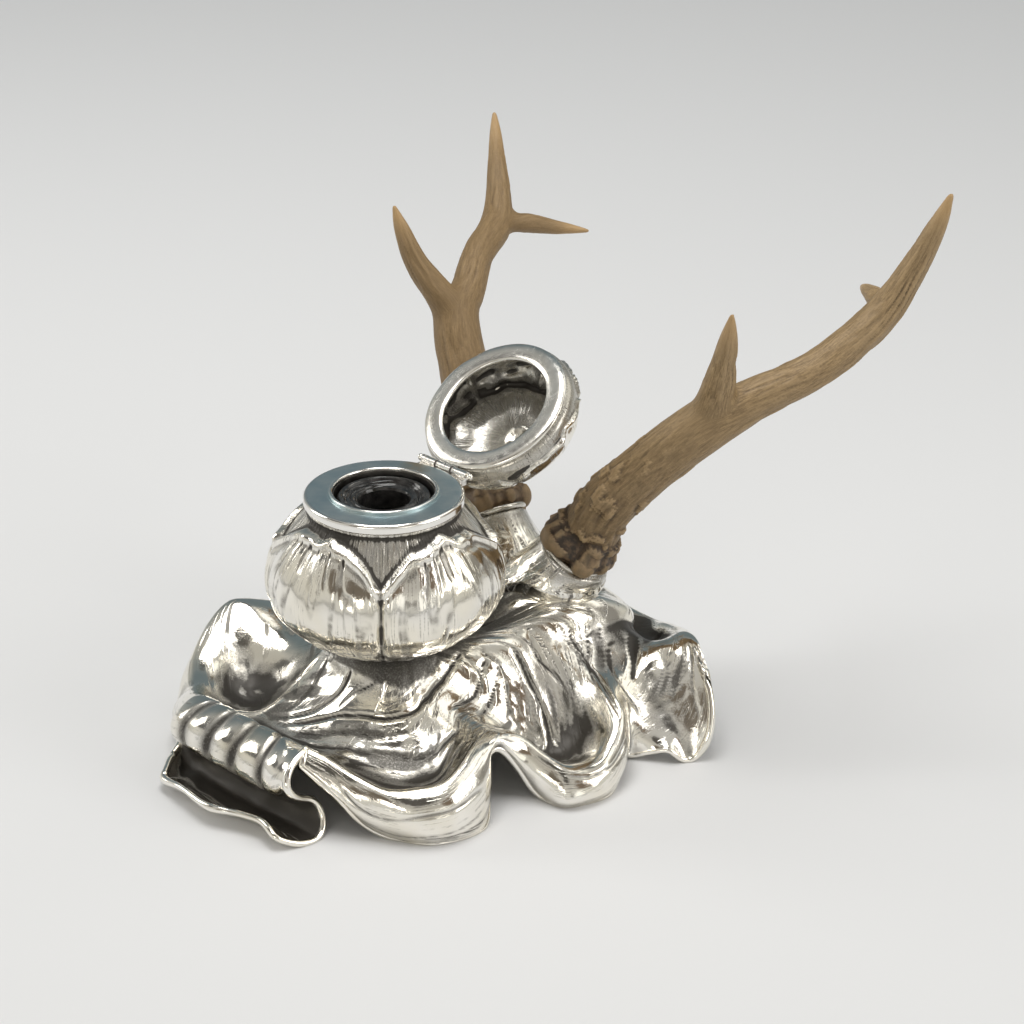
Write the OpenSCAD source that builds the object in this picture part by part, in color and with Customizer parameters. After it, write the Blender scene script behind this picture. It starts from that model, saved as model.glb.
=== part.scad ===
// Table inkwell: a bud-shaped well with a hinged lid on a cast drapery base, and two roe
// antlers behind it as pen rests.
// Millimetres, +Z up. The front of the inkwell faces -Y, the lid hinge and the antlers are towards +Y.

/* [Base] */
// Thickness of the cast sheet
sheet = 2; // [1.5:0.1:2.6]
// Height of the flat seat for the bowl
seat_height = 50; // [48:1:52]
// Radius of the flat seat for the bowl
seat_radius = 13; // [11:0.5:14]

/* [Bowl] */
// Radius of the bowl's foot where it rests on the seat
foot_radius = 13; // [11:0.5:14]
// Height of the petals over the ground
petal_relief = 1.8; // [0.8:0.1:2]
// Height of the bead along the petals' lips
lip_relief = 1.2; // [0.4:0.1:1.4]

/* [Collar and well] */
// Outer radius of the flat collar
collar_radius = 32.5; // [31:0.5:34]
// Height of the collar's top face
collar_top = 116; // [115:0.5:117]
// Thickness of the collar
collar_thick = 4; // [3:0.5:5]
// Outer radius of the well's sleeve
sleeve_radius = 21.2; // [20.8:0.1:21.6]
// Wall of the well's sleeve
sleeve_wall = 1; // [0.8:0.1:1.2]
// Height of the sleeve's underside
sleeve_bottom = 62; // [60:1:66]

/* [Glass liner] */
// Outer radius of the glass
glass_radius = 19.5; // [19:0.1:19.8]
// Radius of the mouth a pen is dipped through
mouth_radius = 10.5; // [9:0.5:11]
// Height of the top of the glass
glass_top = 115; // [113:0.5:115.5]
// Thickness of the cork pad under the glass
pad_thick = 3; // [2:0.5:4]

/* [Lid] */
// How far the lid stands open
open_angle = 144.4; // [0:0.4:144.4]
// Gap between the shut lid and the collar
lid_gap = 0.3; // [0.2:0.1:0.5]
// Radius of the lid's flat ring
lid_radius = 32; // [31:0.5:32]
// Radius of the opening in the lid's ring
lid_opening = 23.2; // [22.5:0.1:24]
// Thickness of the lid's ring
lid_ring_thick = 2.5; // [2:0.1:3]

/* [Hinge] */
// Distance of the hinge line behind the bowl's axis
hinge_y = 34; // [34:0.1:34.4]
// Height of the hinge line
hinge_z = 116.2; // [116:0.1:116.4]
// Radius of the knuckles
knuckle_radius = 1.7; // [1.5:0.1:1.8]
// Radius of the pin
pin_radius = 0.8; // [0.6:0.1:0.9]
// Length of the row of knuckles
hinge_length = 26; // [22:1:28]

/* [Antlers] */
// Distance of each socket from the middle
socket_x = 24; // [22:0.5:26]
// Distance of the sockets behind the bowl's axis
socket_y = 85; // [83:1:87]
// Height of the sockets' top faces
socket_z = 69; // [67:1:71]
// Lean of the antlers away from upright
socket_tilt = 34; // [30:1:38]
// Turn of that lean towards the back
socket_turn = 15; // [10:1:20]
// Radius of the studs that hold the antlers
stud_radius = 2.5; // [2:0.5:3]

/* [Hidden] */
$fn = 96;
// The middle of the whole inkwell's footprint, measured from the bowl's axis
middle = [-2.5, 54.5];
fit = 0.02;
running = 0.06;
collar_under = collar_top - collar_thick;
lid_under = collar_top + lid_gap;
lid_face = lid_under + lid_ring_thick;
pad_bottom = sleeve_bottom + sleeve_wall;
glass_bottom = pad_bottom + pad_thick;

// The base's cast sheet is laid over ribs. Each rib runs from the seat down the mound to the
// crest of the rim, then over it and down to the hem: four points, the crest, then the rest.
ribs = [
    // just right of the slit, where the skirt has no length yet
    [[[13, -15, 49], [20, -24, 39], [23, -43, 25], [23, -55, 26]],
     [22, -63, 33],
     [[24, -67, 31], [25, -69, 29], [25, -70, 28]]],
    [[[15, -14, 49], [22, -25, 38], [29, -42, 23], [30, -52, 23]],
     [30, -59, 30],
     [[33, -63, 27], [36, -65, 22], [38, -64, 18]]],
    [[[16, -13, 49], [25, -24, 37], [36, -39, 22], [40, -48, 20]],
     [42, -55, 25],
     [[46, -59, 20], [48, -60, 12], [47, -57, 5]]],
    // front right lobe, down on the table
    [[[17, -11, 49], [28, -21, 37], [43, -34, 21], [49, -43, 18]],
     [54, -51, 22],
     [[60, -53, 17], [61, -53, 8], [58, -50, 0]]],
    [[[18, -9, 49], [30, -18, 37], [49, -28, 20], [56, -36, 18]],
     [61, -43, 22],
     [[68, -46, 17], [71, -46, 8], [70, -43, 0]]],
    [[[18, -7, 49], [31, -14, 37], [52, -22, 22], [60, -28, 20]],
     [67, -33, 23],
     [[74, -35, 18], [77, -35, 8], [76, -32, 0]]],
    [[[19, -5, 49], [31, -10, 38], [50, -14, 26], [58, -18, 25]],
     [66, -21, 26],
     [[73, -22, 21], [77, -22, 10], [77, -20, 0]]],
    [[[19, -3, 49], [31, -6, 38], [47, -8, 29], [56, -10, 28]],
     [63, -12, 28],
     [[70, -12, 24], [73, -12, 15], [71, -11, 7]]],
    // arch between the two right lobes
    [[[19, 0, 49], [30, -1, 39], [42, -1, 31], [51, -2, 29]],
     [60, -3, 29],
     [[65, -4, 28], [67, -6, 25], [65, -7, 20]]],
    [[[19, 2, 49], [30, 4, 39], [42, 5, 30], [52, 6, 28]],
     [60, 5, 29],
     [[64, 3, 29], [66, 1, 27], [65, 0, 24]]],
    [[[19, 3, 49], [30, 8, 40], [42, 12, 28], [54, 14, 22]],
     [65, 12, 26],
     [[69, 9, 24], [71, 6, 19], [69, 6, 15]]],
    [[[19, 4, 49], [30, 12, 41], [43, 18, 27], [59, 21, 14]],
     [74, 16, 20],
     [[79, 12, 15], [79, 10, 8], [74, 12, 2]]],
    // side right lobe, down on the table
    [[[19, 5, 49], [31, 16, 42], [45, 24, 27], [64, 26, 11]],
     [82, 20, 16],
     [[88, 16, 12], [90, 13, 5], [87, 14, 0]]],
    [[[18, 7, 49], [31, 20, 42], [47, 30, 28], [67, 32, 11]],
     [86, 27, 15],
     [[93, 24, 11], [95, 22, 5], [92, 23, 0]]],
    [[[18, 8, 49], [32, 25, 43], [48, 36, 30], [68, 38, 13]],
     [88, 34, 16],
     [[94, 33, 12], [96, 33, 5], [94, 33, 0]]],
    [[[18, 9, 49], [32, 30, 44], [48, 42, 32], [67, 45, 18]],
     [86, 42, 19],
     [[92, 42, 14], [94, 42, 8], [92, 42, 3]]],
    [[[17, 10, 49], [33, 36, 45], [47, 48, 35], [64, 51, 25]],
     [83, 50, 23],
     [[88, 51, 18], [90, 50, 13], [88, 49, 8]]],
    // fold running in towards the mound
    [[[17, 11, 49], [33, 42, 46], [46, 54, 38], [60, 57, 30]],
     [77, 57, 27],
     [[81, 58, 22], [83, 58, 16], [82, 57, 11]]],
    [[[16, 12, 49], [33, 50, 47], [44, 62, 39], [56, 64, 32]],
     [70, 62, 29],
     [[76, 62, 21], [79, 62, 11], [79, 61, 2]]],
    // tall back right lobe
    [[[16, 13, 49], [34, 58, 48], [44, 70, 39], [55, 73, 32]],
     [67, 70, 28],
     [[76, 68, 19], [83, 66, 10], [86, 66, 4]]],
    [[[15, 14, 49], [35, 66, 48], [45, 76, 39], [56, 80, 33]],
     [67, 80, 29],
     [[79, 78, 19], [88, 75, 11], [94, 71, 6]]],
    [[[15, 15, 48], [36, 75, 47], [46, 83, 39], [57, 87, 34]],
     [68, 89, 34],
     [[82, 86, 25], [93, 82, 13], [99, 78, 0]]],
    [[[14, 16, 48], [36, 86, 46], [46, 92, 38], [57, 95, 35]],
     [70, 96, 38],
     [[82, 94, 34], [94, 91, 26], [102, 86, 14]]],
    // its raised corner
    [[[12, 18, 48], [36, 96, 43], [44, 101, 33], [54, 104, 30]],
     [67, 103, 39],
     [[75, 102, 41], [83, 100, 40], [89, 96, 34]]],
    [[[10, 20, 47], [31, 102, 40], [38, 109, 26], [46, 113, 23]],
     [60, 112, 35],
     [[68, 111, 37], [73, 109, 34], [76, 107, 28]]],
    [[[8, 22, 47], [25, 104, 40], [31, 113, 24], [36, 118, 20]],
     [44, 121, 29],
     [[51, 125, 27], [54, 127, 20], [56, 128, 12]]],
    // back edge
    [[[4, 24, 46], [14, 103, 38], [18, 114, 23], [22, 121, 18]],
     [27, 128, 23],
     [[31, 134, 19], [33, 136, 9], [33, 137, 0]]],
    [[[0, 25, 46], [0, 102, 37], [0, 113, 24], [0, 121, 20]],
     [0, 128, 24],
     [[0, 135, 21], [0, 138, 13], [0, 139, 6]]],
    [[[-4, 24, 46], [-14, 103, 38], [-18, 114, 23], [-22, 121, 18]],
     [-27, 128, 23],
     [[-31, 134, 19], [-33, 136, 9], [-33, 137, 0]]],
    [[[-8, 22, 47], [-25, 104, 40], [-31, 113, 24], [-38, 117, 20]],
     [-46, 119, 27],
     [[-54, 122, 24], [-58, 124, 16], [-59, 124, 8]]],
    // back left lobe, behind the bowl
    [[[-12, 18, 48], [-34, 96, 43], [-44, 101, 35], [-54, 104, 31]],
     [-66, 106, 33],
     [[-75, 106, 28], [-80, 105, 16], [-81, 104, 3]]],
    [[[-15, 14, 49], [-35, 80, 47], [-47, 88, 37], [-58, 92, 31]],
     [-74, 94, 31],
     [[-86, 92, 22], [-91, 90, 10], [-92, 89, 0]]],
    [[[-16, 12, 49], [-34, 60, 48], [-46, 72, 37], [-58, 77, 28]],
     [-72, 78, 27],
     [[-82, 77, 21], [-87, 76, 12], [-88, 76, 5]]],
    [[[-17, 10, 49], [-33, 40, 46], [-46, 50, 36], [-58, 55, 29]],
     [-70, 58, 29],
     [[-79, 58, 25], [-84, 58, 19], [-84, 58, 12]]],
    [[[-18, 8, 49], [-32, 24, 44], [-45, 32, 31], [-59, 37, 23]],
     [-77, 38, 26],
     [[-87, 38, 21], [-92, 38, 11], [-92, 38, 2]]],
    [[[-19, 5, 49], [-31, 11, 43], [-44, 16, 31], [-60, 18, 26]],
     [-78, 18, 32],
     [[-90, 18, 25], [-95, 18, 13], [-94, 18, 0]]],
    // tall side left lobe
    [[[-19, 0, 49], [-30, 2, 42], [-44, 2, 31], [-61, 0, 30]],
     [-83, -3, 39],
     [[-93, -2, 33], [-98, -2, 17], [-97, -2, 0]]],
    [[[-19, -3, 49], [-29, -5, 41], [-42, -8, 27], [-60, -11, 27]],
     [-86, -12, 39],
     [[-92, -13, 32], [-95, -14, 16], [-95, -14, 0]]],
    [[[-18, -6, 49], [-28, -10, 41], [-40, -17, 22], [-58, -23, 17]],
     [-84, -24, 33],
     [[-90, -27, 25], [-92, -28, 13], [-92, -28, 1]]],
    // falls away to the front left
    [[[-17, -9, 49], [-26, -14, 40], [-38, -26, 19], [-54, -33, 13]],
     [-77, -37, 25],
     [[-83, -41, 19], [-85, -42, 10], [-84, -42, 3]]],
    [[[-16, -12, 49], [-23, -18, 40], [-35, -34, 19], [-48, -42, 15]],
     [-66, -48, 22],
     [[-72, -52, 16], [-74, -54, 8], [-72, -54, 3]]],
    [[[-13, -15, 49], [-20, -21, 39], [-31, -40, 21], [-42, -49, 19]],
     [-55, -57, 26],
     [[-62, -62, 20], [-64, -63, 11], [-61, -63, 6], [-58, -66, 4]]],
    // the front edge curls over into the long roll
    [[[-11, -17, 49], [-16, -23, 39], [-27, -44, 22], [-36, -54, 22]],
     [-46, -62, 30],
     [[-50, -71, 25], [-51, -74, 17], [-48, -71, 12], [-45, -68, 9],
      [-45, -69, 3], [-43, -75, 1], [-40, -85, 6]]],
    [[[-9, -18, 49], [-12, -24, 39], [-21, -47, 22], [-28, -57, 24]],
     [-35, -64, 32],
     [[-40, -76, 27], [-41, -78, 17], [-38, -73, 12], [-36, -69, 9],
      [-36, -70, 3], [-36, -76, 1], [-36, -89, 5]]],
    [[[-6, -19, 49], [-7, -25, 39], [-13, -49, 22], [-17, -58, 25]],
     [-22, -65, 33],
     [[-24, -77, 27], [-25, -79, 17], [-24, -73, 12], [-22, -69, 9],
      [-22, -70, 3], [-22, -77, 0], [-22, -91, 8]]],
    [[[-3, -20, 49], [-2, -26, 39], [-5, -50, 22], [-6, -59, 26]],
     [-8, -65, 33],
     [[-8, -77, 27], [-9, -79, 17], [-8, -73, 12], [-7, -69, 9],
      [-6, -70, 3], [-5, -78, 0], [-4, -93, 8]]],
    [[[1, -20, 49], [3, -26, 39], [3, -49, 23], [3, -59, 26]],
     [4, -65, 33],
     [[6, -77, 27], [6, -79, 17], [7, -73, 12], [8, -69, 10],
      [9, -70, 3], [9, -76, 0], [8, -88, 8]]],
    [[[5, -19, 49], [8, -26, 39], [11, -48, 24], [11, -58, 26]],
     [13, -65, 33],
     [[17, -77, 28], [18, -79, 18], [19, -73, 13], [20, -68, 11],
      [23, -69, 4], [23, -75, 0], [20, -85, 8]]],
    // just left of the slit, the roll at its full length
    [[[9, -17, 49], [14, -25, 39], [18, -46, 25], [18, -57, 26]],
     [20, -64, 33],
     [[24, -75, 30], [27, -80, 22], [28, -73, 15], [29, -67, 13],
      [34, -67, 5], [36, -74, 0], [31, -88, 6]]],
];

// ---- smooth curves ----

// Between b and c, with a before them and d after them
function between(a, b, c, d, f) =
    0.5 * (2 * b + (c - a) * f + (2 * a - 5 * b + 4 * c - d) * f * f + (3 * b - a - 3 * c + d) * f * f * f);

// The point at t along a list of points, counting one for each point
function along(p, t) =
    let (n = len(p), i = min(floor(t), n - 2), b = p[i], c = p[i + 1])
    let (a = i > 0 ? p[i - 1] : 2 * b - c, d = i + 2 < n ? p[i + 2] : 2 * c - b)
    between(a, b, c, d, t - i);

function unit(v) = v / max(norm(v), 0.000001);
function clamp(x) = min(max(x, 0), 1);
function soft(x) = let (c = clamp(x)) c * c * (3 - 2 * c);
function turned(p, a) = [p[0] * cos(a), p[0] * sin(a), p[1]];

// ---- base ----

rows_in = 10;
rows_out = 10;
per_rib = 2;
last_rib = len(ribs) - 1;
cols = last_rib * per_rib;
crest_row = rows_in + 1;
hem_row = crest_row + rows_out;
hole_radius = 2.3;

function seat_angle(k) =
    let (p = ribs[k][0][1])
    atan2(p[1] * (p[1] > 0 ? 0.35 : 1), p[0]);

function rib_line(k) =
    let (inside = ribs[k % last_rib])
    concat([turned([seat_radius, seat_height], seat_angle(k % last_rib))],
           inside[0], [inside[1]], ribs[k][2]);

function rib_rows(k) =
    let (line = rib_line(k), a = seat_angle(k % last_rib), n = len(ribs[k][2]))
    concat([[hole_radius * cos(a), hole_radius * sin(a), seat_height]],
           [for (j = [0:rows_in - 1]) along(line, 5 * j / rows_in)],
           [for (j = [0:rows_out]) along(line, 5 + n * j / rows_out)]);

rib_grid = [for (k = [0:last_rib]) rib_rows(k)];

// Inside the crest the ribs run right round; outside it they stop at the slit beside the roll
function sheet_point(i, j) =
    let (k = min(floor(i / per_rib), last_rib - 1), f = i / per_rib - k)
    let (shut = j <= crest_row, b = rib_grid[k][j])
    let (c = rib_grid[shut ? (k + 1) % last_rib : k + 1][j])
    let (a = shut ? rib_grid[(k - 1 + last_rib) % last_rib][j] : k > 0 ? rib_grid[k - 1][j] : 2 * b - c)
    let (d = shut ? rib_grid[(k + 2) % last_rib][j] : k + 2 <= last_rib ? rib_grid[k + 2][j] : 2 * c - b)
    between(a, b, c, d, f);

function on_table(p) = [p[0], p[1], max(p[2], 0)];

top_side = [for (i = [0:cols]) [for (j = [0:hem_row]) on_table(sheet_point(i, j))]];

function step_round(i, j) =
    j <= crest_row ? top_side[(i + 1) % cols][j] - top_side[(i - 1 + cols) % cols][j]
                   : top_side[min(i + 1, cols)][j] - top_side[max(i - 1, 0)][j];
function step_down(i, j) = top_side[i][min(j + 1, hem_row)] - top_side[i][max(j - 1, 2)];

function sheet_normal(i, j) = j < 3 ? [0, 0, 1] : unit(cross(step_down(i, j), step_round(i, j)));

// The underside lies one thickness below, and the hem is cut level
function under_point(i, j) =
    let (p = top_side[i][j], n = sheet_normal(i, j))
    j == hem_row ? p - sheet * unit([n[0], n[1], 0]) : on_table(p - sheet * n);

under_side = [for (i = [0:cols]) [for (j = [0:hem_row]) under_point(i, j)]];

// Where the sheet is closed, the last column is the first one again
function spot(side, i, j) =
    side * (cols + 1) * (hem_row + 1) + (i == cols && j <= crest_row ? 0 : i) * (hem_row + 1) + j;

// The free edge: along the hem, then up one side of the slit and down the other
free_edge = concat([for (i = [0:cols]) [i, hem_row]],
                   [for (j = [hem_row - 1:-1:crest_row]) [cols, j]],
                   [for (j = [crest_row + 1:hem_row - 1]) [0, j]]);

module drapery_sheet() {
    faces = concat(
        [for (i = [0:cols - 1]) for (j = [0:hem_row - 1])
            [spot(0, i, j), spot(0, i + 1, j), spot(0, i + 1, j + 1)]],
        [for (i = [0:cols - 1]) for (j = [0:hem_row - 1])
            [spot(0, i, j), spot(0, i + 1, j + 1), spot(0, i, j + 1)]],
        [for (i = [0:cols - 1]) for (j = [0:hem_row - 1])
            [spot(1, i, j), spot(1, i + 1, j + 1), spot(1, i + 1, j)]],
        [for (i = [0:cols - 1]) for (j = [0:hem_row - 1])
            [spot(1, i, j), spot(1, i, j + 1), spot(1, i + 1, j + 1)]],
        [for (i = [0:cols - 1]) [spot(0, i, 0), spot(1, i, 0), spot(1, i + 1, 0)]],
        [for (i = [0:cols - 1]) [spot(0, i, 0), spot(1, i + 1, 0), spot(0, i + 1, 0)]],
        [for (e = [0:len(free_edge) - 1])
            let (p = free_edge[e], q = free_edge[(e + 1) % len(free_edge)])
            [spot(0, p[0], p[1]), spot(0, q[0], q[1]), spot(1, q[0], q[1])]],
        [for (e = [0:len(free_edge) - 1])
            let (p = free_edge[e], q = free_edge[(e + 1) % len(free_edge)])
            [spot(0, p[0], p[1]), spot(1, q[0], q[1]), spot(1, p[0], p[1])]]
    );
    points = concat([for (c = top_side) for (p = c) p], [for (c = under_side) for (p = c) p]);
    polyhedron(points = points, faces = faces);
}

module placed() {
    translate([-middle[0], -middle[1], 0]) children();
}

module at_socket(side) {
    translate([side * socket_x, socket_y, socket_z])
        rotate([0, socket_tilt, side > 0 ? socket_turn : 180 - socket_turn])
            children();
}

module pedicle() {
    translate([0, 0, -26]) cylinder(h = 26, r1 = 18, r2 = 14.2);
}

module pedicle_hollow() {
    translate([0, 0, -44]) cylinder(h = 40, r1 = 15, r2 = 9.5);
}

module stud_hole() {
    translate([0, 0, -6]) cylinder(h = 8, r = stud_radius + fit, $fn = 48);
}

module drapery_base() {
    color("silver") placed() difference() {
        union() {
            drapery_sheet();
            at_socket(1) pedicle();
            at_socket(-1) pedicle();
        }
        at_socket(1) pedicle_hollow();
        at_socket(-1) pedicle_hollow();
        at_socket(1) stud_hole();
        at_socket(-1) stud_hole();
    }
}

// ---- antlers ----

module socket_rim() {
    rotate_extrude() {
        translate([12.8, 0]) square([1.6, 1.8]);
        translate([14.1, 1.4]) circle(r = 1.4, $fn = 40);
    }
}

module left_socket_rim() {
    color("silver") placed() at_socket(-1) socket_rim();
}

module right_socket_rim() {
    color("silver") placed() at_socket(1) socket_rim();
}

function socket_axis(side) =
    let (turn = side > 0 ? socket_turn : 180 - socket_turn)
    [sin(socket_tilt) * cos(turn), sin(socket_tilt) * sin(turn), cos(socket_tilt)];

function socket_spot(side, h) = [side * socket_x, socket_y, socket_z] + h * socket_axis(side);

// Height along the coronet, its radius there, and how far its pearls stand out
coronet = [[0.02, 12.2, 0], [2.6, 12.2, 0], [3.6, 15.6, 0.05], [6.2, 16.8, 0.09], [8.8, 15.6, 0.08],
           [11.5, 13.6, 0.05]];

// Each beam and tine: points down its middle, each with its radius
right_beam = [[41, 89, 96, 12.2], [59, 99, 118, 11.6], [75, 109, 135, 11.4], [88, 126, 146, 9],
              [98, 146, 154, 8], [104, 163, 163, 8], [109, 179, 175, 7.6], [116, 187, 193, 5.9],
              [123, 191, 211, 4.2], [128, 193, 226, 1.2]];
right_brow = [[72, 110, 131, 9.4], [79, 109, 146, 8.2], [87, 104, 164, 5.8], [93, 100, 180, 3.8],
              [97, 97, 192, 1]];
right_rear = [[108, 177, 172, 4], [99, 186, 175, 4.6], [88, 195, 173, 3.4], [79, 202, 171, 1.6]];
left_beam = [[-43, 96, 96, 12], [-61, 105, 117, 11.2], [-75, 113, 139, 10.4], [-80, 125, 148, 8],
             [-91, 142, 157, 7.4], [-102, 164, 163, 7.6], [-111, 175, 171, 6.2], [-121, 184, 181, 4.8],
             [-128, 190, 193, 3.2], [-133, 194, 203, 1.2]];
left_brow = [[-73, 114, 134, 8.6], [-79, 109, 148, 7.4], [-88, 102, 164, 5.4], [-94, 99, 179, 3.6],
             [-97, 97, 190, 1]];
left_rear = [[-102, 164, 163, 4], [-97, 178, 162, 4.8], [-90, 192, 158, 3.4], [-80, 203, 156, 1]];

function place(p) = [p[0], p[1], p[2]];

function girth(a, pearls) = 1 + pearls * (sin(9 * a) + 0.6 * sin(5 * a + 40)) + 0.02 * sin(7 * a + 20);

// A round horn swept along a list of [x, y, z, radius, pearls]
module horn(spine, sides, side) {
    n = len(spine);
    ref = [-side * 0.7, 0.7, 0];
    rings = [for (i = [0:n - 1])
        let (t = unit(place(spine[min(i + 1, n - 1)]) - place(spine[max(i - 1, 0)])))
        let (u = unit(ref - (ref * t) * t))
        let (w = cross(t, u))
        [for (s = [0:sides - 1])
            let (a = 360 * s / sides, r = spine[i][3] * girth(a, spine[i][4]))
            place(spine[i]) + r * (cos(a) * u + sin(a) * w)]];
    points = concat([for (ring = rings) for (p = ring) p], [place(spine[0]), place(spine[n - 1])]);
    faces = concat(
        [for (i = [0:n - 2]) for (s = [0:sides - 1])
            [i * sides + s, (i + 1) * sides + s, (i + 1) * sides + (s + 1) % sides]],
        [for (i = [0:n - 2]) for (s = [0:sides - 1])
            [i * sides + s, (i + 1) * sides + (s + 1) % sides, i * sides + (s + 1) % sides]],
        [for (s = [0:sides - 1]) [n * sides, s, (s + 1) % sides]],
        [for (s = [0:sides - 1]) [n * sides + 1, (n - 1) * sides + (s + 1) % sides, (n - 1) * sides + s]]
    );
    polyhedron(points = points, faces = faces);
}

function fine(line, steps) = [for (s = [0:steps]) concat(along(line, (len(line) - 1) * s / steps), [0])];

function beam_spine(side, beam) =
    concat([for (c = coronet) concat(socket_spot(side, c[0]), [c[1], c[2]])],
           fine(concat([concat(socket_spot(side, 15), [12.6])], beam), 26));

module antler(side, beam, brow, rear) {
    difference() {
        union() {
            horn(beam_spine(side, beam), 20, side);
            horn(fine(brow, 9), 12, side);
            horn(fine(rear, 7), 12, side);
        }
        at_socket(side) translate([0, 0, -1]) cylinder(h = 21, r = stud_radius + fit, $fn = 48);
    }
}

module left_antler() {
    color("peru") placed() antler(-1, left_beam, left_brow, left_rear);
}

module right_antler() {
    color("peru") placed() antler(1, right_beam, right_brow, right_rear);
}

module antler_stud() {
    translate([0, 0, -12]) cylinder(h = 31, r = stud_radius, $fn = 48);
}

module antler_washer() {
    translate([0, 0, -5.22]) difference() {
        cylinder(h = 1.2, r = 6.5, $fn = 64);
        translate([0, 0, -1]) cylinder(h = 4, r = stud_radius + 0.2, $fn = 48);
    }
}

module antler_nut() {
    translate([0, 0, -9.24]) difference() {
        cylinder(h = 4, r = 4.7, $fn = 6);
        translate([0, 0, -1]) cylinder(h = 7, r = stud_radius + fit, $fn = 48);
    }
}

module left_antler_stud() {
    color("gray") placed() at_socket(-1) antler_stud();
}

module right_antler_stud() {
    color("gray") placed() at_socket(1) antler_stud();
}

module left_antler_washer() {
    color("dimgray") placed() at_socket(-1) antler_washer();
}

module right_antler_washer() {
    color("dimgray") placed() at_socket(1) antler_washer();
}

module left_antler_nut() {
    color("goldenrod") placed() at_socket(-1) antler_nut();
}

module right_antler_nut() {
    color("goldenrod") placed() at_socket(1) antler_nut();
}

// ---- bowl ----

bowl_line = [[foot_radius, seat_height], [21, 51], [31, 55.5], [40.5, 62.5], [46.5, 70], [48.3, 79],
             [46.4, 89], [41, 98.5], [34.5, 107], [31.5, collar_under]];

// Angle from the middle of the nearest of four petals
function petal_angle(a) = let (m = (a + 405) % 90) m - 45;

function petal_top(p) = 108.5 - 13 * pow(abs(p) / 45, 2.2) + 0.5 * cos(32 * p);

function petal_height(a, z) =
    let (p = petal_angle(a), drop = petal_top(p) - z)
    let (seam = (45 - abs(p)) / 3, edge = (drop - 1.6) / 1.4)
    petal_relief * (soft(drop / 1.6) - 1) + lip_relief * exp(-edge * edge)
        - (drop > 0 ? 1.1 * exp(-seam * seam) : 0);

module petal_body(line, rows, sides, relief) {
    n = len(line) - 1;
    rings = [for (j = [0:rows])
        let (q = along(line, n * j / rows), live = soft(j / 3) * soft((rows - j) / 2))
        [for (s = [0:sides - 1])
            let (a = 360 * s / sides)
            turned([q[0] + live * (relief ? petal_height(a, q[1]) : 0), q[1]], a)]];
    points = concat([for (ring = rings) for (p = ring) p], [[0, 0, line[0][1]], [0, 0, line[n][1]]]);
    centre = (rows + 1) * sides;
    faces = concat(
        [for (j = [0:rows - 1]) for (s = [0:sides - 1])
            [j * sides + s, (j + 1) * sides + s, (j + 1) * sides + (s + 1) % sides]],
        [for (j = [0:rows - 1]) for (s = [0:sides - 1])
            [j * sides + s, (j + 1) * sides + (s + 1) % sides, j * sides + (s + 1) % sides]],
        [for (s = [0:sides - 1]) [centre, s, (s + 1) % sides]],
        [for (s = [0:sides - 1]) [centre + 1, rows * sides + (s + 1) % sides, rows * sides + s]]
    );
    polyhedron(points = points, faces = faces);
}

module bowl_shell() {
    inner = [[0, 53], [18, 53], [30, 58], [38.4, 65], [43.4, 71.6], [45, 79], [43, 88], [37.6, 96.6],
             [31, 105.2], [28.6, collar_under - 2], [28.6, collar_under + 1], [0, collar_under + 1]];
    color("gainsboro") placed() difference() {
        petal_body(bowl_line, 24, 96, true);
        rotate_extrude() polygon(inner);
        translate([0, 0, seat_height - 2]) cylinder(h = 8, r = 2.2, $fn = 48);
    }
}

module bowl_screw() {
    color("gray") placed() {
        translate([0, 0, seat_height - 10]) cylinder(h = 14, r = 2, $fn = 48);
        translate([0, 0, 53.02]) cylinder(h = 2.4, r = 4.2, $fn = 64);
    }
}

module bowl_washer() {
    color("dimgray") placed() translate([0, 0, seat_height - sheet - 1.02]) difference() {
        cylinder(h = 1, r = 6.5, $fn = 64);
        translate([0, 0, -1]) cylinder(h = 3, r = 2.2, $fn = 48);
    }
}

module bowl_nut() {
    color("goldenrod") placed() translate([0, 0, seat_height - sheet - 4.22]) difference() {
        cylinder(h = 3.2, r = 4.2, $fn = 6);
        translate([0, 0, -1]) cylinder(h = 6, r = 2 + fit, $fn = 48);
    }
}

// ---- collar and well ----

module well_collar() {
    r = collar_radius;
    t = collar_top;
    color("slategray") placed() rotate_extrude(angle = 360) {
        difference() {
            translate([sleeve_radius + fit, collar_under]) square([r - sleeve_radius - fit, collar_thick]);
            translate([r - 1.5, t - 1.5]) square([3, 3]);
            translate([r - 1, collar_under - 1]) square([2, 1.8]);
        }
        translate([r - 1.5, t - 1.5]) circle(r = 1.5, $fn = 48);
        translate([26, collar_under - 2.4]) square([2.5, 2.5]);
    }
}

module well_bezel() {
    color("whitesmoke") placed() rotate_extrude() intersection() {
        translate([20, collar_top]) square([4, 4]);
        union() {
            translate([21.4, collar_top + 0.6]) circle(r = 0.8, $fn = 48);
            translate([21.4, collar_top - 1]) square([1.4, 1.3]);
        }
    }
}

module well_sleeve() {
    color("darkgray") placed() difference() {
        translate([0, 0, sleeve_bottom]) cylinder(h = collar_top - 0.2 - sleeve_bottom, r = sleeve_radius);
        translate([0, 0, pad_bottom]) cylinder(h = 80, r = sleeve_radius - sleeve_wall);
    }
}

module cork_pad() {
    color("burlywood") placed() translate([0, 0, pad_bottom]) difference() {
        cylinder(h = pad_thick, r = glass_radius);
        translate([0, 0, -1]) cylinder(h = pad_thick + 2, r = 4, $fn = 48);
    }
}

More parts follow.
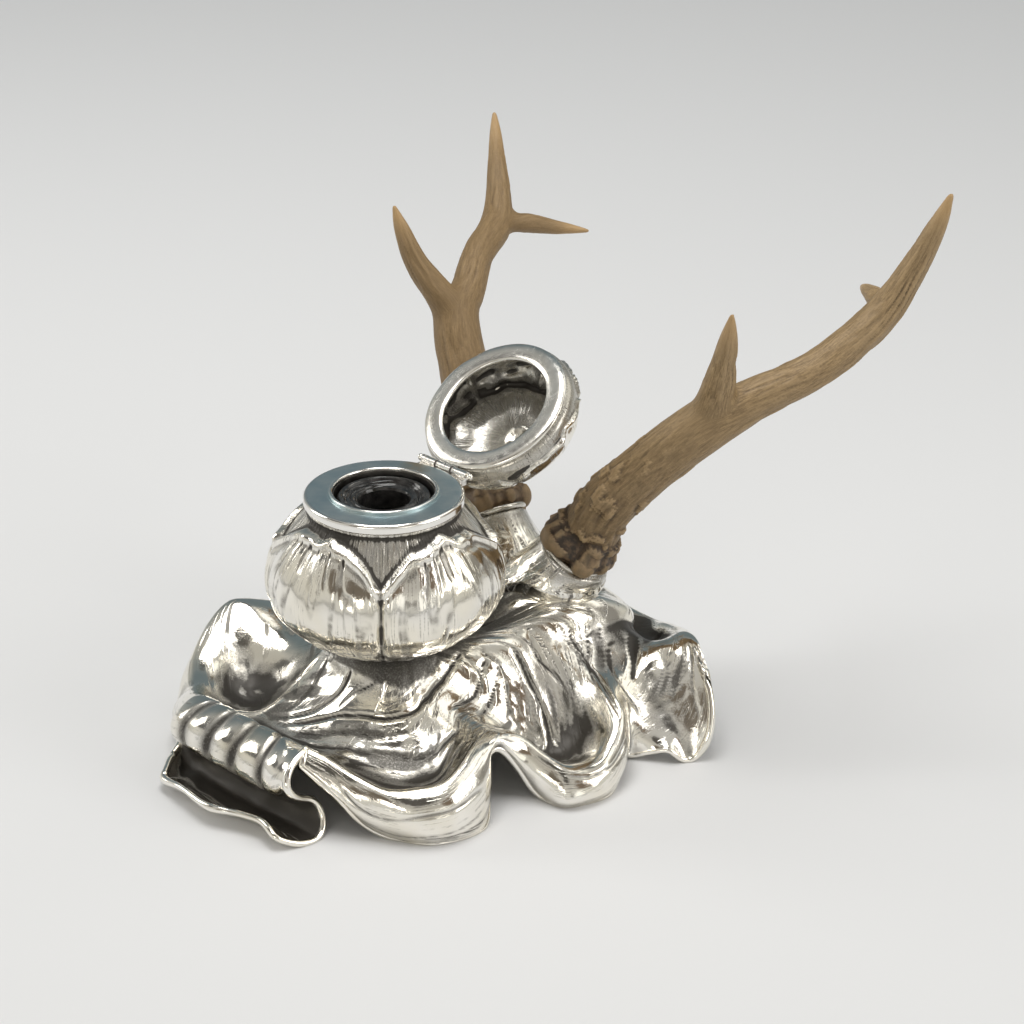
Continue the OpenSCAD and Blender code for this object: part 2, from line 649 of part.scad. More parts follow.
module glass_liner() {
    g = glass_radius;
    m = mouth_radius;
    b = glass_bottom;
    t = glass_top;
    outline = [[0, b + 1], [6, b + 1], [7, b + 0.02], [g - 1.5, b + 0.02], [g, b + 1.5],
               [g, t - 3], [g - 0.6, t - 1], [g - 1.4, t - 0.2], [g - 2.2, t], [g - 3, t - 0.3],
               [g - 3.5, t - 1.2], [m + 4.6, t - 1.8], [m + 3.8, t - 1.6], [m + 2.6, t - 1.2],
               [m + 1.4, t - 1.3], [m + 0.4, t - 2], [m, t - 3], [m, t - 11], [m + 1, t - 12.5],
               [g - 4, t - 14], [g - 3.6, t - 16], [g - 3.6, b + 9], [g - 5, b + 6], [g - 9, b + 4.5],
               [0, b + 4]];
    color("lightcyan", 0.6) placed() rotate_extrude() polygon(outline);
}

// ---- hinge and lid ----

module along_hinge(from, to, r) {
    translate([from, hinge_y, hinge_z]) rotate([0, 90, 0]) cylinder(h = to - from, r = r, $fn = 48);
}

module opened() {
    translate([0, hinge_y, hinge_z])
        rotate([-open_angle, 0, 0])
            translate([0, -hinge_y, -hinge_z])
                children();
}

module hinge_leaf_fixed() {
    half = hinge_length / 2;
    color("silver") placed() difference() {
        union() {
            along_hinge(-half, -4.6, knuckle_radius);
            along_hinge(4.6, half, knuckle_radius);
            translate([-half, 27, collar_under + 0.6]) cube([hinge_length, 6.4, 2.6]);
        }
        translate([0, 0, collar_under - 1]) cylinder(h = 4.25, r = collar_radius + fit);
        along_hinge(-4.6, 4.6, knuckle_radius + 0.3);
        along_hinge(-half - 1, half + 1, pin_radius + fit);
    }
}

module hinge_pin() {
    half = hinge_length / 2;
    color("gainsboro") placed() {
        along_hinge(-half - 0.5, half + 0.5, pin_radius);
        for (side = [-1, 1])
            translate([side * (half + 1.5), hinge_y, hinge_z]) sphere(r = 1.4, $fn = 48);
    }
}

module hinge_leaf_lid() {
    color("silver") placed() opened() difference() {
        union() {
            along_hinge(-4.3, 4.3, knuckle_radius);
            translate([-4.3, 28, lid_under + 0.2]) cube([8.6, 5.4, 2.1]);
        }
        translate([0, 0, lid_under - 1]) cylinder(h = 5, r = lid_radius + fit);
        along_hinge(-5, 5, pin_radius + running);
    }
}

module lid_ring() {
    color("whitesmoke") placed() opened() rotate_extrude() {
        translate([lid_opening + 1.2, lid_under]) square([lid_radius - lid_opening - 2.2, lid_ring_thick]);
        translate([lid_opening + 1.25, lid_under + 1.25]) circle(r = 1.25, $fn = 48);
        translate([lid_radius - 2, lid_under + 0.8]) square([2, lid_ring_thick - 0.8]);
        translate([lid_radius - 1, lid_under + 1]) circle(r = 1, $fn = 48);
    }
}

lid_line = [[31.2, lid_face], [33.2, lid_face + 2], [34.1, lid_face + 5.7], [33, lid_face + 11.2],
            [29.5, lid_face + 16.6], [23.5, lid_face + 20.9], [15, lid_face + 23.7], [6, lid_face + 24.9],
            [2, lid_face + 25.1]];

function scallop(a, z) =
    let (p = petal_angle(a), edge = lid_face + 5 + 3 * abs(sin(6 * a)) + 4 * pow(abs(p) / 45, 3))
    let (seam = (45 - abs(p)) / 3, lip = (z - edge - 1) / 1.2)
    0.6 * (soft((z - edge) / 1.4) - 1) + 0.4 * exp(-lip * lip) - (z > edge ? 0.7 * exp(-seam * seam) : 0);

module lid_body(rows, sides) {
    n = len(lid_line) - 1;
    rings = [for (j = [0:rows])
        let (q = along(lid_line, n * j / rows), live = soft(j / 2) * soft((rows - j) / 4))
        [for (s = [0:sides - 1])
            let (a = 360 * s / sides)
            turned([q[0] + live * scallop(a, q[1]), q[1]], a)]];
    points = concat([for (ring = rings) for (p = ring) p], [[0, 0, lid_line[0][1]], [0, 0, lid_line[n][1]]]);
    centre = (rows + 1) * sides;
    faces = concat(
        [for (j = [0:rows - 1]) for (s = [0:sides - 1])
            [j * sides + s, (j + 1) * sides + s, (j + 1) * sides + (s + 1) % sides]],
        [for (j = [0:rows - 1]) for (s = [0:sides - 1])
            [j * sides + s, (j + 1) * sides + (s + 1) % sides, j * sides + (s + 1) % sides]],
        [for (s = [0:sides - 1]) [centre, s, (s + 1) % sides]],
        [for (s = [0:sides - 1]) [centre + 1, rows * sides + (s + 1) % sides, rows * sides + s]]
    );
    polyhedron(points = points, faces = faces);
}

module lid_dome() {
    f = lid_face;
    inner = [[0, f - 1], [29.4, f - 1], [29.4, f], [31, f + 2.4], [31.8, f + 5.7], [30.8, f + 10.4],
             [27.6, f + 15.1], [22.2, f + 18.9], [14.2, f + 21.6], [6, f + 22.8], [0, f + 23]];
    color("gainsboro") placed() opened() difference() {
        lid_body(18, 72);
        rotate_extrude() polygon(inner);
    }
}

drapery_base();
left_socket_rim();
right_socket_rim();
left_antler();
right_antler();
left_antler_stud();
right_antler_stud();
left_antler_washer();
right_antler_washer();
left_antler_nut();
right_antler_nut();
bowl_shell();
bowl_screw();
bowl_washer();
bowl_nut();
well_collar();
well_bezel();
well_sleeve();
cork_pad();
glass_liner();
hinge_leaf_fixed();
hinge_pin();
hinge_leaf_lid();
lid_ring();
lid_dome();
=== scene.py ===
"""The looks of a silver inkwell: a petalled well with a hinged lid on a cast drapery base, with two
roe antlers behind it. Shapes are worked out in millimetres from the bowl's axis, which is where the
CAD source has its origin, and become metres in the row's frame when they are made into a mesh."""
import bpy
import math
import numpy as np
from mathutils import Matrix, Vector, kdtree


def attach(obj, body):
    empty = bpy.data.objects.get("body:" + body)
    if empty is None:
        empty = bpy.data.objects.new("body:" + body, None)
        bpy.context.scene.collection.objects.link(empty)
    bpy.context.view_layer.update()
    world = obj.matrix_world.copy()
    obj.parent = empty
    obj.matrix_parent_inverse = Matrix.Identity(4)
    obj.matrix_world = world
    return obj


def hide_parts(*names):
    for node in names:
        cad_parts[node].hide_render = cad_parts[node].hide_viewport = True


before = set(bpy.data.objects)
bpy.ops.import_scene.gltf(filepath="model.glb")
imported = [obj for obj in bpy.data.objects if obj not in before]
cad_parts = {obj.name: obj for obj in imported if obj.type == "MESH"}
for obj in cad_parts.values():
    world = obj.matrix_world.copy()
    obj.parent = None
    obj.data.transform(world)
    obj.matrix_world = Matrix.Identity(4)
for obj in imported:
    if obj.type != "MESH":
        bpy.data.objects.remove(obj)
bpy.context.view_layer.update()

MM = 0.001
# the middle of the footprint, measured from the bowl's axis
MIDDLE = np.array([-2.5, 54.5, 0.0])

SHEET = 2.0
SEAT_RADIUS, SEAT_HEIGHT, HOLE_RADIUS = 13.0, 50.0, 2.3
HINGE = np.array([0.0, 34.0, 116.2])
OPEN_ANGLE = 144.4
SOCKET = np.array([24.0, 85.0, 69.0])
SOCKET_TILT, SOCKET_TURN = math.radians(34), math.radians(15)

# The base's cast sheet is laid over ribs, as in the CAD source. Each rib runs from the seat down the
# mound in four points to a fifth on the crest of the rim, and the rest go over it to the hem.
RIBS = [
    [(13, -15, 49), (20, -24, 39), (23, -43, 25), (23, -55, 26), (22, -63, 33), (24, -67, 31),
     (25, -69, 29), (25, -70, 28)],
    [(15, -14, 49), (22, -25, 38), (29, -42, 23), (30, -52, 23), (30, -59, 30), (33, -63, 27),
     (36, -65, 22), (38, -64, 18)],
    [(16, -13, 49), (25, -24, 37), (36, -39, 22), (40, -48, 20), (42, -55, 25), (46, -59, 20),
     (48, -60, 12), (47, -57, 5)],
    [(17, -11, 49), (28, -21, 37), (43, -34, 21), (49, -43, 18), (54, -51, 22), (60, -53, 17),
     (61, -53, 8), (58, -50, 0)],
    [(18, -9, 49), (30, -18, 37), (49, -28, 20), (56, -36, 18), (61, -43, 22), (68, -46, 17),
     (71, -46, 8), (70, -43, 0)],
    [(18, -7, 49), (31, -14, 37), (52, -22, 22), (60, -28, 20), (67, -33, 23), (74, -35, 18),
     (77, -35, 8), (76, -32, 0)],
    [(19, -5, 49), (31, -10, 38), (50, -14, 26), (58, -18, 25), (66, -21, 26), (73, -22, 21),
     (77, -22, 10), (77, -20, 0)],
    [(19, -3, 49), (31, -6, 38), (47, -8, 29), (56, -10, 28), (63, -12, 28), (70, -12, 24),
     (73, -12, 15), (71, -11, 7)],
    [(19, 0, 49), (30, -1, 39), (42, -1, 31), (51, -2, 29), (60, -3, 29), (65, -4, 28), (67, -6, 25),
     (65, -7, 20)],
    [(19, 2, 49), (30, 4, 39), (42, 5, 30), (52, 6, 28), (60, 5, 29), (64, 3, 29), (66, 1, 27),
     (65, 0, 24)],
    [(19, 3, 49), (30, 8, 40), (42, 12, 28), (54, 14, 22), (65, 12, 26), (69, 9, 24), (71, 6, 19),
     (69, 6, 15)],
    [(19, 4, 49), (30, 12, 41), (43, 18, 27), (59, 21, 14), (74, 16, 20), (79, 12, 15), (79, 10, 8),
     (74, 12, 2)],
    [(19, 5, 49), (31, 16, 42), (45, 24, 27), (64, 26, 11), (82, 20, 16), (88, 16, 12), (90, 13, 5),
     (87, 14, 0)],
    [(18, 7, 49), (31, 20, 42), (47, 30, 28), (67, 32, 11), (86, 27, 15), (93, 24, 11), (95, 22, 5),
     (92, 23, 0)],
    [(18, 8, 49), (32, 25, 43), (48, 36, 30), (68, 38, 13), (88, 34, 16), (94, 33, 12), (96, 33, 5),
     (94, 33, 0)],
    [(18, 9, 49), (32, 30, 44), (48, 42, 32), (67, 45, 18), (86, 42, 19), (92, 42, 14), (94, 42, 8),
     (92, 42, 3)],
    [(17, 10, 49), (33, 36, 45), (47, 48, 35), (64, 51, 25), (83, 50, 23), (88, 51, 18), (90, 50, 13),
     (88, 49, 8)],
    [(17, 11, 49), (33, 42, 46), (46, 54, 38), (60, 57, 30), (77, 57, 27), (81, 58, 22), (83, 58, 16),
     (82, 57, 11)],
    [(16, 12, 49), (33, 50, 47), (44, 62, 39), (56, 64, 32), (70, 62, 29), (76, 62, 21), (79, 62, 11),
     (79, 61, 2)],
    [(16, 13, 49), (34, 58, 48), (44, 70, 39), (55, 73, 32), (67, 70, 28), (76, 68, 19), (83, 66, 10),
     (86, 66, 4)],
    [(15, 14, 49), (35, 66, 48), (45, 76, 39), (56, 80, 33), (67, 80, 29), (79, 78, 19), (88, 75, 11),
     (94, 71, 6)],
    [(15, 15, 48), (36, 75, 47), (46, 83, 39), (57, 87, 34), (68, 89, 34), (82, 86, 25), (93, 82, 13),
     (99, 78, 0)],
    [(14, 16, 48), (36, 86, 46), (46, 92, 38), (57, 95, 35), (70, 96, 38), (82, 94, 34), (94, 91, 26),
     (102, 86, 14)],
    [(12, 18, 48), (36, 96, 43), (44, 101, 33), (54, 104, 30), (67, 103, 39), (75, 102, 41),
     (83, 100, 40), (89, 96, 34)],
    [(10, 20, 47), (31, 102, 40), (38, 109, 26), (46, 113, 23), (60, 112, 35), (68, 111, 37),
     (73, 109, 34), (76, 107, 28)],
    [(8, 22, 47), (25, 104, 40), (31, 113, 24), (36, 118, 20), (44, 121, 29), (51, 125, 27),
     (54, 127, 20), (56, 128, 12)],
    [(4, 24, 46), (14, 103, 38), (18, 114, 23), (22, 121, 18), (27, 128, 23), (31, 134, 19),
     (33, 136, 9), (33, 137, 0)],
    [(0, 25, 46), (0, 102, 37), (0, 113, 24), (0, 121, 20), (0, 128, 24), (0, 135, 21), (0, 138, 13),
     (0, 139, 6)],
    [(-4, 24, 46), (-14, 103, 38), (-18, 114, 23), (-22, 121, 18), (-27, 128, 23), (-31, 134, 19),
     (-33, 136, 9), (-33, 137, 0)],
    [(-8, 22, 47), (-25, 104, 40), (-31, 113, 24), (-38, 117, 20), (-46, 119, 27), (-54, 122, 24),
     (-58, 124, 16), (-59, 124, 8)],
    [(-12, 18, 48), (-34, 96, 43), (-44, 101, 35), (-54, 104, 31), (-66, 106, 33), (-75, 106, 28),
     (-80, 105, 16), (-81, 104, 3)],
    [(-15, 14, 49), (-35, 80, 47), (-47, 88, 37), (-58, 92, 31), (-74, 94, 31), (-86, 92, 22),
     (-91, 90, 10), (-92, 89, 0)],
    [(-16, 12, 49), (-34, 60, 48), (-46, 72, 37), (-58, 77, 28), (-72, 78, 27), (-82, 77, 21),
     (-87, 76, 12), (-88, 76, 5)],
    [(-17, 10, 49), (-33, 40, 46), (-46, 50, 36), (-58, 55, 29), (-70, 58, 29), (-79, 58, 25),
     (-84, 58, 19), (-84, 58, 12)],
    [(-18, 8, 49), (-32, 24, 44), (-45, 32, 31), (-59, 37, 23), (-77, 38, 26), (-87, 38, 21),
     (-92, 38, 11), (-92, 38, 2)],
    [(-19, 5, 49), (-31, 11, 43), (-44, 16, 31), (-60, 18, 26), (-78, 18, 32), (-90, 18, 25),
     (-95, 18, 13), (-94, 18, 0)],
    [(-19, 0, 49), (-30, 2, 42), (-44, 2, 31), (-61, 0, 30), (-83, -3, 39), (-93, -2, 33),
     (-98, -2, 17), (-97, -2, 0)],
    [(-19, -3, 49), (-29, -5, 41), (-42, -8, 27), (-60, -11, 27), (-86, -12, 39), (-92, -13, 32),
     (-95, -14, 16), (-95, -14, 0)],
    [(-18, -6, 49), (-28, -10, 41), (-40, -17, 22), (-58, -23, 17), (-84, -24, 33), (-90, -27, 25),
     (-92, -28, 13), (-92, -28, 1)],
    [(-17, -9, 49), (-26, -14, 40), (-38, -26, 19), (-54, -33, 13), (-77, -37, 25), (-83, -41, 19),
     (-85, -42, 10), (-84, -42, 3)],
    [(-16, -12, 49), (-23, -18, 40), (-35, -34, 19), (-48, -42, 15), (-66, -48, 22), (-72, -52, 16),
     (-74, -54, 8), (-72, -54, 3)],
    [(-13, -15, 49), (-20, -21, 39), (-31, -40, 21), (-42, -49, 19), (-55, -57, 26), (-62, -62, 20),
     (-64, -63, 11), (-61, -63, 6), (-58, -66, 4)],
    [(-11, -17, 49), (-16, -23, 39), (-27, -44, 22), (-36, -54, 22), (-46, -62, 30), (-50, -71, 25),
     (-51, -74, 17), (-48, -71, 12), (-45, -68, 9), (-45, -69, 3), (-43, -75, 1), (-40, -85, 6)],
    [(-9, -18, 49), (-12, -24, 39), (-21, -47, 22), (-28, -57, 24), (-35, -64, 32), (-40, -76, 27),
     (-41, -78, 17), (-38, -73, 12), (-36, -69, 9), (-36, -70, 3), (-36, -76, 1), (-36, -89, 5)],
    [(-6, -19, 49), (-7, -25, 39), (-13, -49, 22), (-17, -58, 25), (-22, -65, 33), (-24, -77, 27),
     (-25, -79, 17), (-24, -73, 12), (-22, -69, 9), (-22, -70, 3), (-22, -77, 0), (-22, -91, 8)],
    [(-3, -20, 49), (-2, -26, 39), (-5, -50, 22), (-6, -59, 26), (-8, -65, 33), (-8, -77, 27),
     (-9, -79, 17), (-8, -73, 12), (-7, -69, 9), (-6, -70, 3), (-5, -78, 0), (-4, -93, 8)],
    [(1, -20, 49), (3, -26, 39), (3, -49, 23), (3, -59, 26), (4, -65, 33), (6, -77, 27), (6, -79, 17),
     (7, -73, 12), (8, -69, 10), (9, -70, 3), (9, -76, 0), (8, -88, 8)],
    [(5, -19, 49), (8, -26, 39), (11, -48, 24), (11, -58, 26), (13, -65, 33), (17, -77, 28),
     (18, -79, 18), (19, -73, 13), (20, -68, 11), (23, -69, 4), (23, -75, 0), (20, -85, 8)],
    [(13, -15, 49), (20, -24, 39), (23, -43, 25), (23, -55, 26), (22, -63, 33), (24, -75, 30),
     (27, -80, 22), (28, -73, 15), (29, -67, 13), (34, -67, 5), (36, -74, 0), (31, -88, 6)],
]

LAST = len(RIBS) - 1

# Chased creases on the drapery: points as (rib, place along the rib), then depth and half width.
# Along a rib, 0 is the seat, 1 the crest of the rim and 2 the hem. Ribs 49 and up are 1 and up again.
CREASES = [
    ([(66, .27), (61, .33), (58, .37), (56, .4), (53.5, .42), (50.5, .44), (48, .47), (46.6, .5),
      (44.6, .55), (42.8, .6)], 1.5, 1.0),
    ([(46.1, .27), (45.9, .36), (45.8, .44), (45, .5), (44, .54), (42.2, .6)], 1.1, .9),
    ([(41.6, .33), (42.5, .4), (43.4, .47), (43.2, .55)], .9, .8),
    ([(38.4, .45), (41, .48), (42.9, .5)], .8, .8),
    ([(60.5, .25), (58.2, .29), (56, .33)], .8, .7),
    ([(48.1, .2), (47.7, .33), (47.2, .4), (46.6, .48)], .7, .7),
    ([(44.2, .58), (46.5, .56), (48, .53), (50.2, .5), (52, .48)], 1.0, .9),
    ([(45.2, .62), (47, .62), (48.2, .6), (49.6, .57), (51, .56), (53, .57), (54.8, .62),
      (56, .75)], .9, .8),
    ([(47.6, .68), (49.4, .64), (51.3, .6)], .6, .6),
    ([(46, .72), (47.5, .76), (49, .84), (50.4, .88), (52, .84), (54, .78), (55.6, .82)], 1.0, .8),
    ([(67.6, .33), (65.6, .42), (64.2, .52), (63.9, .6), (63.6, .7)], 1.0, .8),
    ([(64.4, .38), (63.2, .5), (62.3, .58), (61.8, .66), (60.9, .76), (59.2, .9)], 1.5, .9),
    ([(62.6, .38), (62.2, .44)], .8, .6),
    ([(66.8, .45), (66, .62), (65.8, .78), (65, .88)], .9, .8),
    ([(64.1, .33), (62, .4), (60.2, .46), (58.6, .52), (57.2, .54), (55.4, .55)], 1.1, .8),
    ([(62.6, .42), (61.4, .48), (59.9, .54), (58.5, .6), (57, .66)], .8, .7),
    ([(61, .52), (60.1, .6), (59.6, .68)], .5, .6),
    ([(68.2, .3), (67.5, .42), (66.4, .58), (66.1, .72), (65.8, .86), (64.9, .95),
      (64.1, 1.06)], 1.3, .9),
    ([(69, .45), (68.8, .38)], .9, .8),
    ([(68.6, .52), (67.6, .58), (66.7, .66), (66, .8)], .7, .6),
    ([(69, .66), (67.8, .73), (66.9, .87), (66.9, 1.06), (67.2, 1.3), (67.2, 1.5)], .7, .7),
    ([(70, .7), (69.1, .8), (68.1, .93), (67.4, 1.04)], 1.8, 1.3),
    ([(70.8, 1.3), (70.1, 1.38), (69.6, 1.5), (69.5, 1.75)], .7, .7),
    ([(43.2, .88), (43.1, 1.06), (43.2, 1.16), (43.4, 1.4)], 1.1, 1.0),
    ([(44.1, .86), (44.1, 1.06), (44.2, 1.18), (44.4, 1.4)], 1.1, 1.0),
    ([(45.1, .84), (45.1, 1.06), (45.2, 1.18), (45.4, 1.4)], 1.1, 1.0),
    ([(46.4, .84), (46.3, 1.02), (46.3, 1.18), (46.6, 1.4)], 1.1, 1.0),
    ([(49.3, 1.3), (49.7, 1.5), (50.5, 1.56), (52, 1.45), (53.6, 1.45), (54.6, 1.5)], .5, .9),
    ([(49.8, 1.8), (50.8, 1.85), (52, 1.8), (53.4, 1.72), (54.4, 1.68)], .4, .6),
    ([(59.6, 1.2), (61, 1.25), (62.6, 1.3), (64, 1.28)], .5, .7),
    ([(40.6, .36), (40.7, .5), (40.8, .66), (41.2, .8), (41.8, .92)], 1.5, 1.1),
    ([(34.4, .4), (34, .65), (33.6, .9)], 1.0, .9),
    ([(32.4, .45), (32, .7), (31.4, .95)], 1.0, .9),
    ([(30.6, .55), (30.2, .75), (29.8, .95)], 1.2, 1.0),
    ([(28.4, .5), (28.2, .7), (28, .95)], .9, .9),
    ([(26.2, .5), (26.2, .7), (26.4, .95)], .9, .9),
    ([(24.4, .5), (24.2, .7), (24.6, .95)], 1.2, 1.0),
    ([(22.6, .55), (22.8, .7), (23.2, .95)], .9, .9),
]


# ---- numbers ----

def soft(x):
    x = np.clip(x, 0, 1)
    return x * x * (3 - 2 * x)


def swell(x):
    return np.exp(-x * x)


def noise(x, y, seed, period=64):
    """Smooth value noise from 0 to 1. It repeats along x after period cells."""
    table = np.random.default_rng(seed).random((period, 64))
    x, y = np.broadcast_arrays(x, y)
    i, j = np.floor(x).astype(int), np.floor(y).astype(int)
    fx, fy = soft(x - i), soft(y - j)
    near, far = (table[i % period, row % 64] * (1 - fx) + table[(i + 1) % period, row % 64] * fx
                 for row in (j, j + 1))
    return near * (1 - fy) + far * fy


def grooves(x, y, seed, period=64):
    """0 on broad backs and 1 in narrow grooves, which run along y."""
    return soft(1 - 3.2 * np.abs(noise(x, y, seed, period) - 0.5))


def cubic(a, b, c, d, f):
    """The point a share f of the way from b to c, on a smooth curve through all four."""
    square, cube = 2 * a - 5 * b + 4 * c - d, 3 * b - a - 3 * c + d
    return 0.5 * (2 * b + (c - a) * f + square * f**2 + cube * f**3)


def along(points, t):
    """Points at t along a smooth line through points, counting one for each point."""
    points = np.asarray(points, float)
    i = np.clip(np.floor(t).astype(int), 0, len(points) - 2)
    f = (t - i)[..., None]
    p = np.vstack([2 * points[0] - points[1], points, 2 * points[-1] - points[-2]])
    return cubic(p[i], p[i + 1], p[i + 2], p[i + 3], f)


def even_steps(line, first, last, count):
    """Values of t from first to last that lie evenly along the line's length."""
    t = np.linspace(first, last, 240)
    run = run_along(along(line, t))
    return np.interp(np.linspace(0, run[-1], count + 1), run, t)


def run_along(points):
    """How far along the line of points each one lies."""
    return np.concatenate([[0], np.cumsum(np.linalg.norm(np.diff(points, axis=0), axis=1))])


def unit(v):
    return v / np.maximum(np.linalg.norm(v, axis=-1, keepdims=True), 1e-9)


def full_turn(count):
    """Angles round a circle, as a column."""
    return np.linspace(0, 2 * math.pi, count, endpoint=False)[:, None]


def degrees_round(count):
    return np.linspace(0, 360, count, endpoint=False)[:, None]


def spun(radius, degrees, height):
    """Points at a radius from the bowl's axis, at degrees round it and at a height."""
    angle = np.radians(degrees)
    return np.stack(np.broadcast_arrays(radius * np.cos(angle), radius * np.sin(angle), height), -1)


def as_list(*fields):
    """A list of points from a grid's three fields."""
    return np.stack(np.broadcast_arrays(*fields), -1).reshape(-1, 3)


def grid_normals(grid, round_closed, down_closed=False):
    """Normals of a grid whose first index runs round and whose second runs down."""
    def step(axis, closed):
        if closed:
            return np.roll(grid, -1, axis) - np.roll(grid, 1, axis)
        return np.gradient(grid, axis=axis)
    return unit(np.cross(step(1, down_closed), step(0, round_closed)))


# ---- meshes ----

def make_piece(name, points, quads, caps=()):
    """A smooth mesh object from points in millimetres, with quads and a few many-sided caps."""
    mesh = bpy.data.meshes.new(name)
    points = (np.asarray(points) - MIDDLE) * MM
    mesh.vertices.add(len(points))
    mesh.vertices.foreach_set("co", points.astype(np.float32).ravel())
    corners = np.concatenate([np.ravel(quads), *caps]).astype(np.int32)
    sizes = np.array([4] * len(quads) + [len(c) for c in caps])
    starts = np.concatenate([[0], np.cumsum(sizes)[:-1]])
    mesh.loops.add(len(corners))
    mesh.loops.foreach_set("vertex_index", corners)
    mesh.polygons.add(len(sizes))
    mesh.polygons.foreach_set("loop_start", starts.astype(np.int32))
    mesh.polygons.foreach_set("use_smooth", np.ones(len(sizes), bool))
    mesh.update(calc_edges=True)
    mesh.validate()
    piece = bpy.data.objects.new(name, mesh)
    bpy.context.scene.collection.objects.link(piece)
    return piece


def wrap_quads(columns, rows, round_closed=True, down_closed=False, flip=False):
    """Quads of a grid of points numbered column by column."""
    i, j = np.meshgrid(np.arange(columns if round_closed else columns - 1),
                       np.arange(rows if down_closed else rows - 1), indexing="ij")
    i2, j2 = (i + 1) % columns, (j + 1) % rows
    order = [i * rows + j, i * rows + j2, i2 * rows + j2, i2 * rows + j]
    return np.stack(order[::-1] if flip else order, -1).reshape(-1, 4)


def read(vectors, field):
    values = np.zeros(len(vectors) * 3, np.float32)
    vectors.foreach_get(field, values)
    return values.reshape(-1, 3).astype(float)


def set_points(mesh, points):
    """Moves a mesh's points to places given in millimetres."""
    mesh.vertices.foreach_set("co", ((points - MIDDLE) * MM).astype(np.float32).ravel())
    mesh.update()


def smoothed(mesh, points, rounds):
    """The points after rounds of averaging with their neighbours."""
    edges = np.zeros(len(mesh.edges) * 2, np.int32)
    mesh.edges.foreach_get("vertices", edges)
    a, b = edges.reshape(-1, 2).T
    here, there = np.concatenate([a, b]), np.concatenate([b, a])
    count = np.maximum(np.bincount(here, minlength=len(points)), 1)
    for _ in range(rounds):
        sums = [np.bincount(here, weights=points[there, k], minlength=len(points)) for k in range(3)]
        points = 0.5 * points + 0.5 * np.stack(sums, 1) / count[:, None]
    return points


def store(mesh, name, values):
    vectors = values.shape[-1] == 3
    kind, field = ("FLOAT_VECTOR", "vector") if vectors else ("FLOAT", "value")
    data = mesh.attributes.new(name, kind, "POINT").data
    data.foreach_set(field, values.astype(np.float32).ravel())


# ink is how dark each point is: oxide and chased lines, and also painted shade under and round the bowl,
# in the wide dips and along the fold inside the lid
def mark(mesh, flow, ink):
    store(mesh, "flow", flow)
    store(mesh, "ink", ink)


def store_hollows(mesh, rounds=14, share=1.0):
    """Keeps how deep each point lies below its smoothed surroundings, in millimetres."""
    points, normals = read(mesh.vertices, "co"), read(mesh.vertex_normals, "vector")
    depth, wide = (((smoothed(mesh, points, times) - points) * normals).sum(1) / MM
                   for times in (rounds, rounds * 5))
    store(mesh, "hollow", (depth + 0.25 * wide) * share)


def opened(points):
    """Where points of the shut lid lie when the lid stands open."""
    c, s = math.cos(math.radians(-OPEN_ANGLE)), math.sin(math.radians(-OPEN_ANGLE))
    x, y, z = np.moveaxis(np.asarray(points, float) - HINGE, -1, 0)
    return np.stack([x, c * y - s * z, s * y + c * z], -1) + HINGE


def socket_axes(side):
    """A socket's own directions: across, round and up its axis."""
    turn = SOCKET_TURN if side > 0 else math.pi - SOCKET_TURN
    up = np.array([math.sin(SOCKET_TILT) * math.cos(turn), math.sin(SOCKET_TILT) * math.sin(turn),
                   math.cos(SOCKET_TILT)])
    across = unit(np.cross([0, 1.0, 0], up))
    return across, np.cross(up, across), up


def socket_centre(side):
    return SOCKET * [side, 1, 1]


# ---- drapery ----

# how many points a rib has up to the crest of the rim
CREST = 5
# rows of the grid from the seat to the crest, and from there to the hem
INNER_ROWS, OUTER_ROWS = 66, 46
CREST_ROW = INNER_ROWS + 1
# columns from one rib to the next, and the ribs at the back, which take fewer
FINE_STEPS, COARSE_STEPS = 10, 6
BACK_RIBS = range(25, 34)


def rib_samples(k):
    """Points down rib k, and how far along the rib each one is."""
    inside, outside = RIBS[k % LAST][:CREST], RIBS[k][CREST:]
    x, y, _ = inside[1]
    angle = math.atan2(y * (0.35 if y > 0 else 1), x)
    ring = [[r * math.cos(angle), r * math.sin(angle), SEAT_HEIGHT] for r in (HOLE_RADIUS, SEAT_RADIUS)]
    line = [ring[1], *inside, *outside]
    t_in = even_steps(line, 0, CREST, INNER_ROWS)[:-1]
    t_out = even_steps(line, CREST, CREST + len(outside), OUTER_ROWS)
    place = np.concatenate([[0], t_in / CREST, 1 + (t_out - CREST) / len(outside)])
    return np.vstack([ring[0], along(line, np.concatenate([t_in, t_out]))]), place


def drapery_grid():
    """Points of the sheet's upper side, with each point's rib number and place along the rib."""
    samples = [rib_samples(k) for k in range(LAST + 1)]
    ribs = np.array([s[0] for s in samples])
    places = np.array([s[1] for s in samples])
    numbers = [k + s / n for k in range(LAST) for n in [COARSE_STEPS if k in BACK_RIBS else FINE_STEPS]
               for s in range(n)] + [LAST]
    numbers = np.array(numbers)
    k = np.minimum(numbers.astype(int), LAST - 1)
    f = (numbers - k)[:, None, None]
    inside = cubic(ribs[(k - 1) % LAST], ribs[k], ribs[(k + 1) % LAST], ribs[(k + 2) % LAST], f)
    padded = np.concatenate([2 * ribs[:1] - ribs[1:2], ribs, 2 * ribs[-1:] - ribs[-2:-1]])
    outside = cubic(padded[k], padded[k + 1], padded[k + 2], padded[k + 3], f)
    points = np.where((np.arange(ribs.shape[1]) <= CREST_ROW)[None, :, None], inside, outside)
    place = places[k] * (1 - f[..., 0]) + places[k + 1] * f[..., 0]
    points[..., 2] = np.maximum(points[..., 2], 0)
    return points, numbers, place


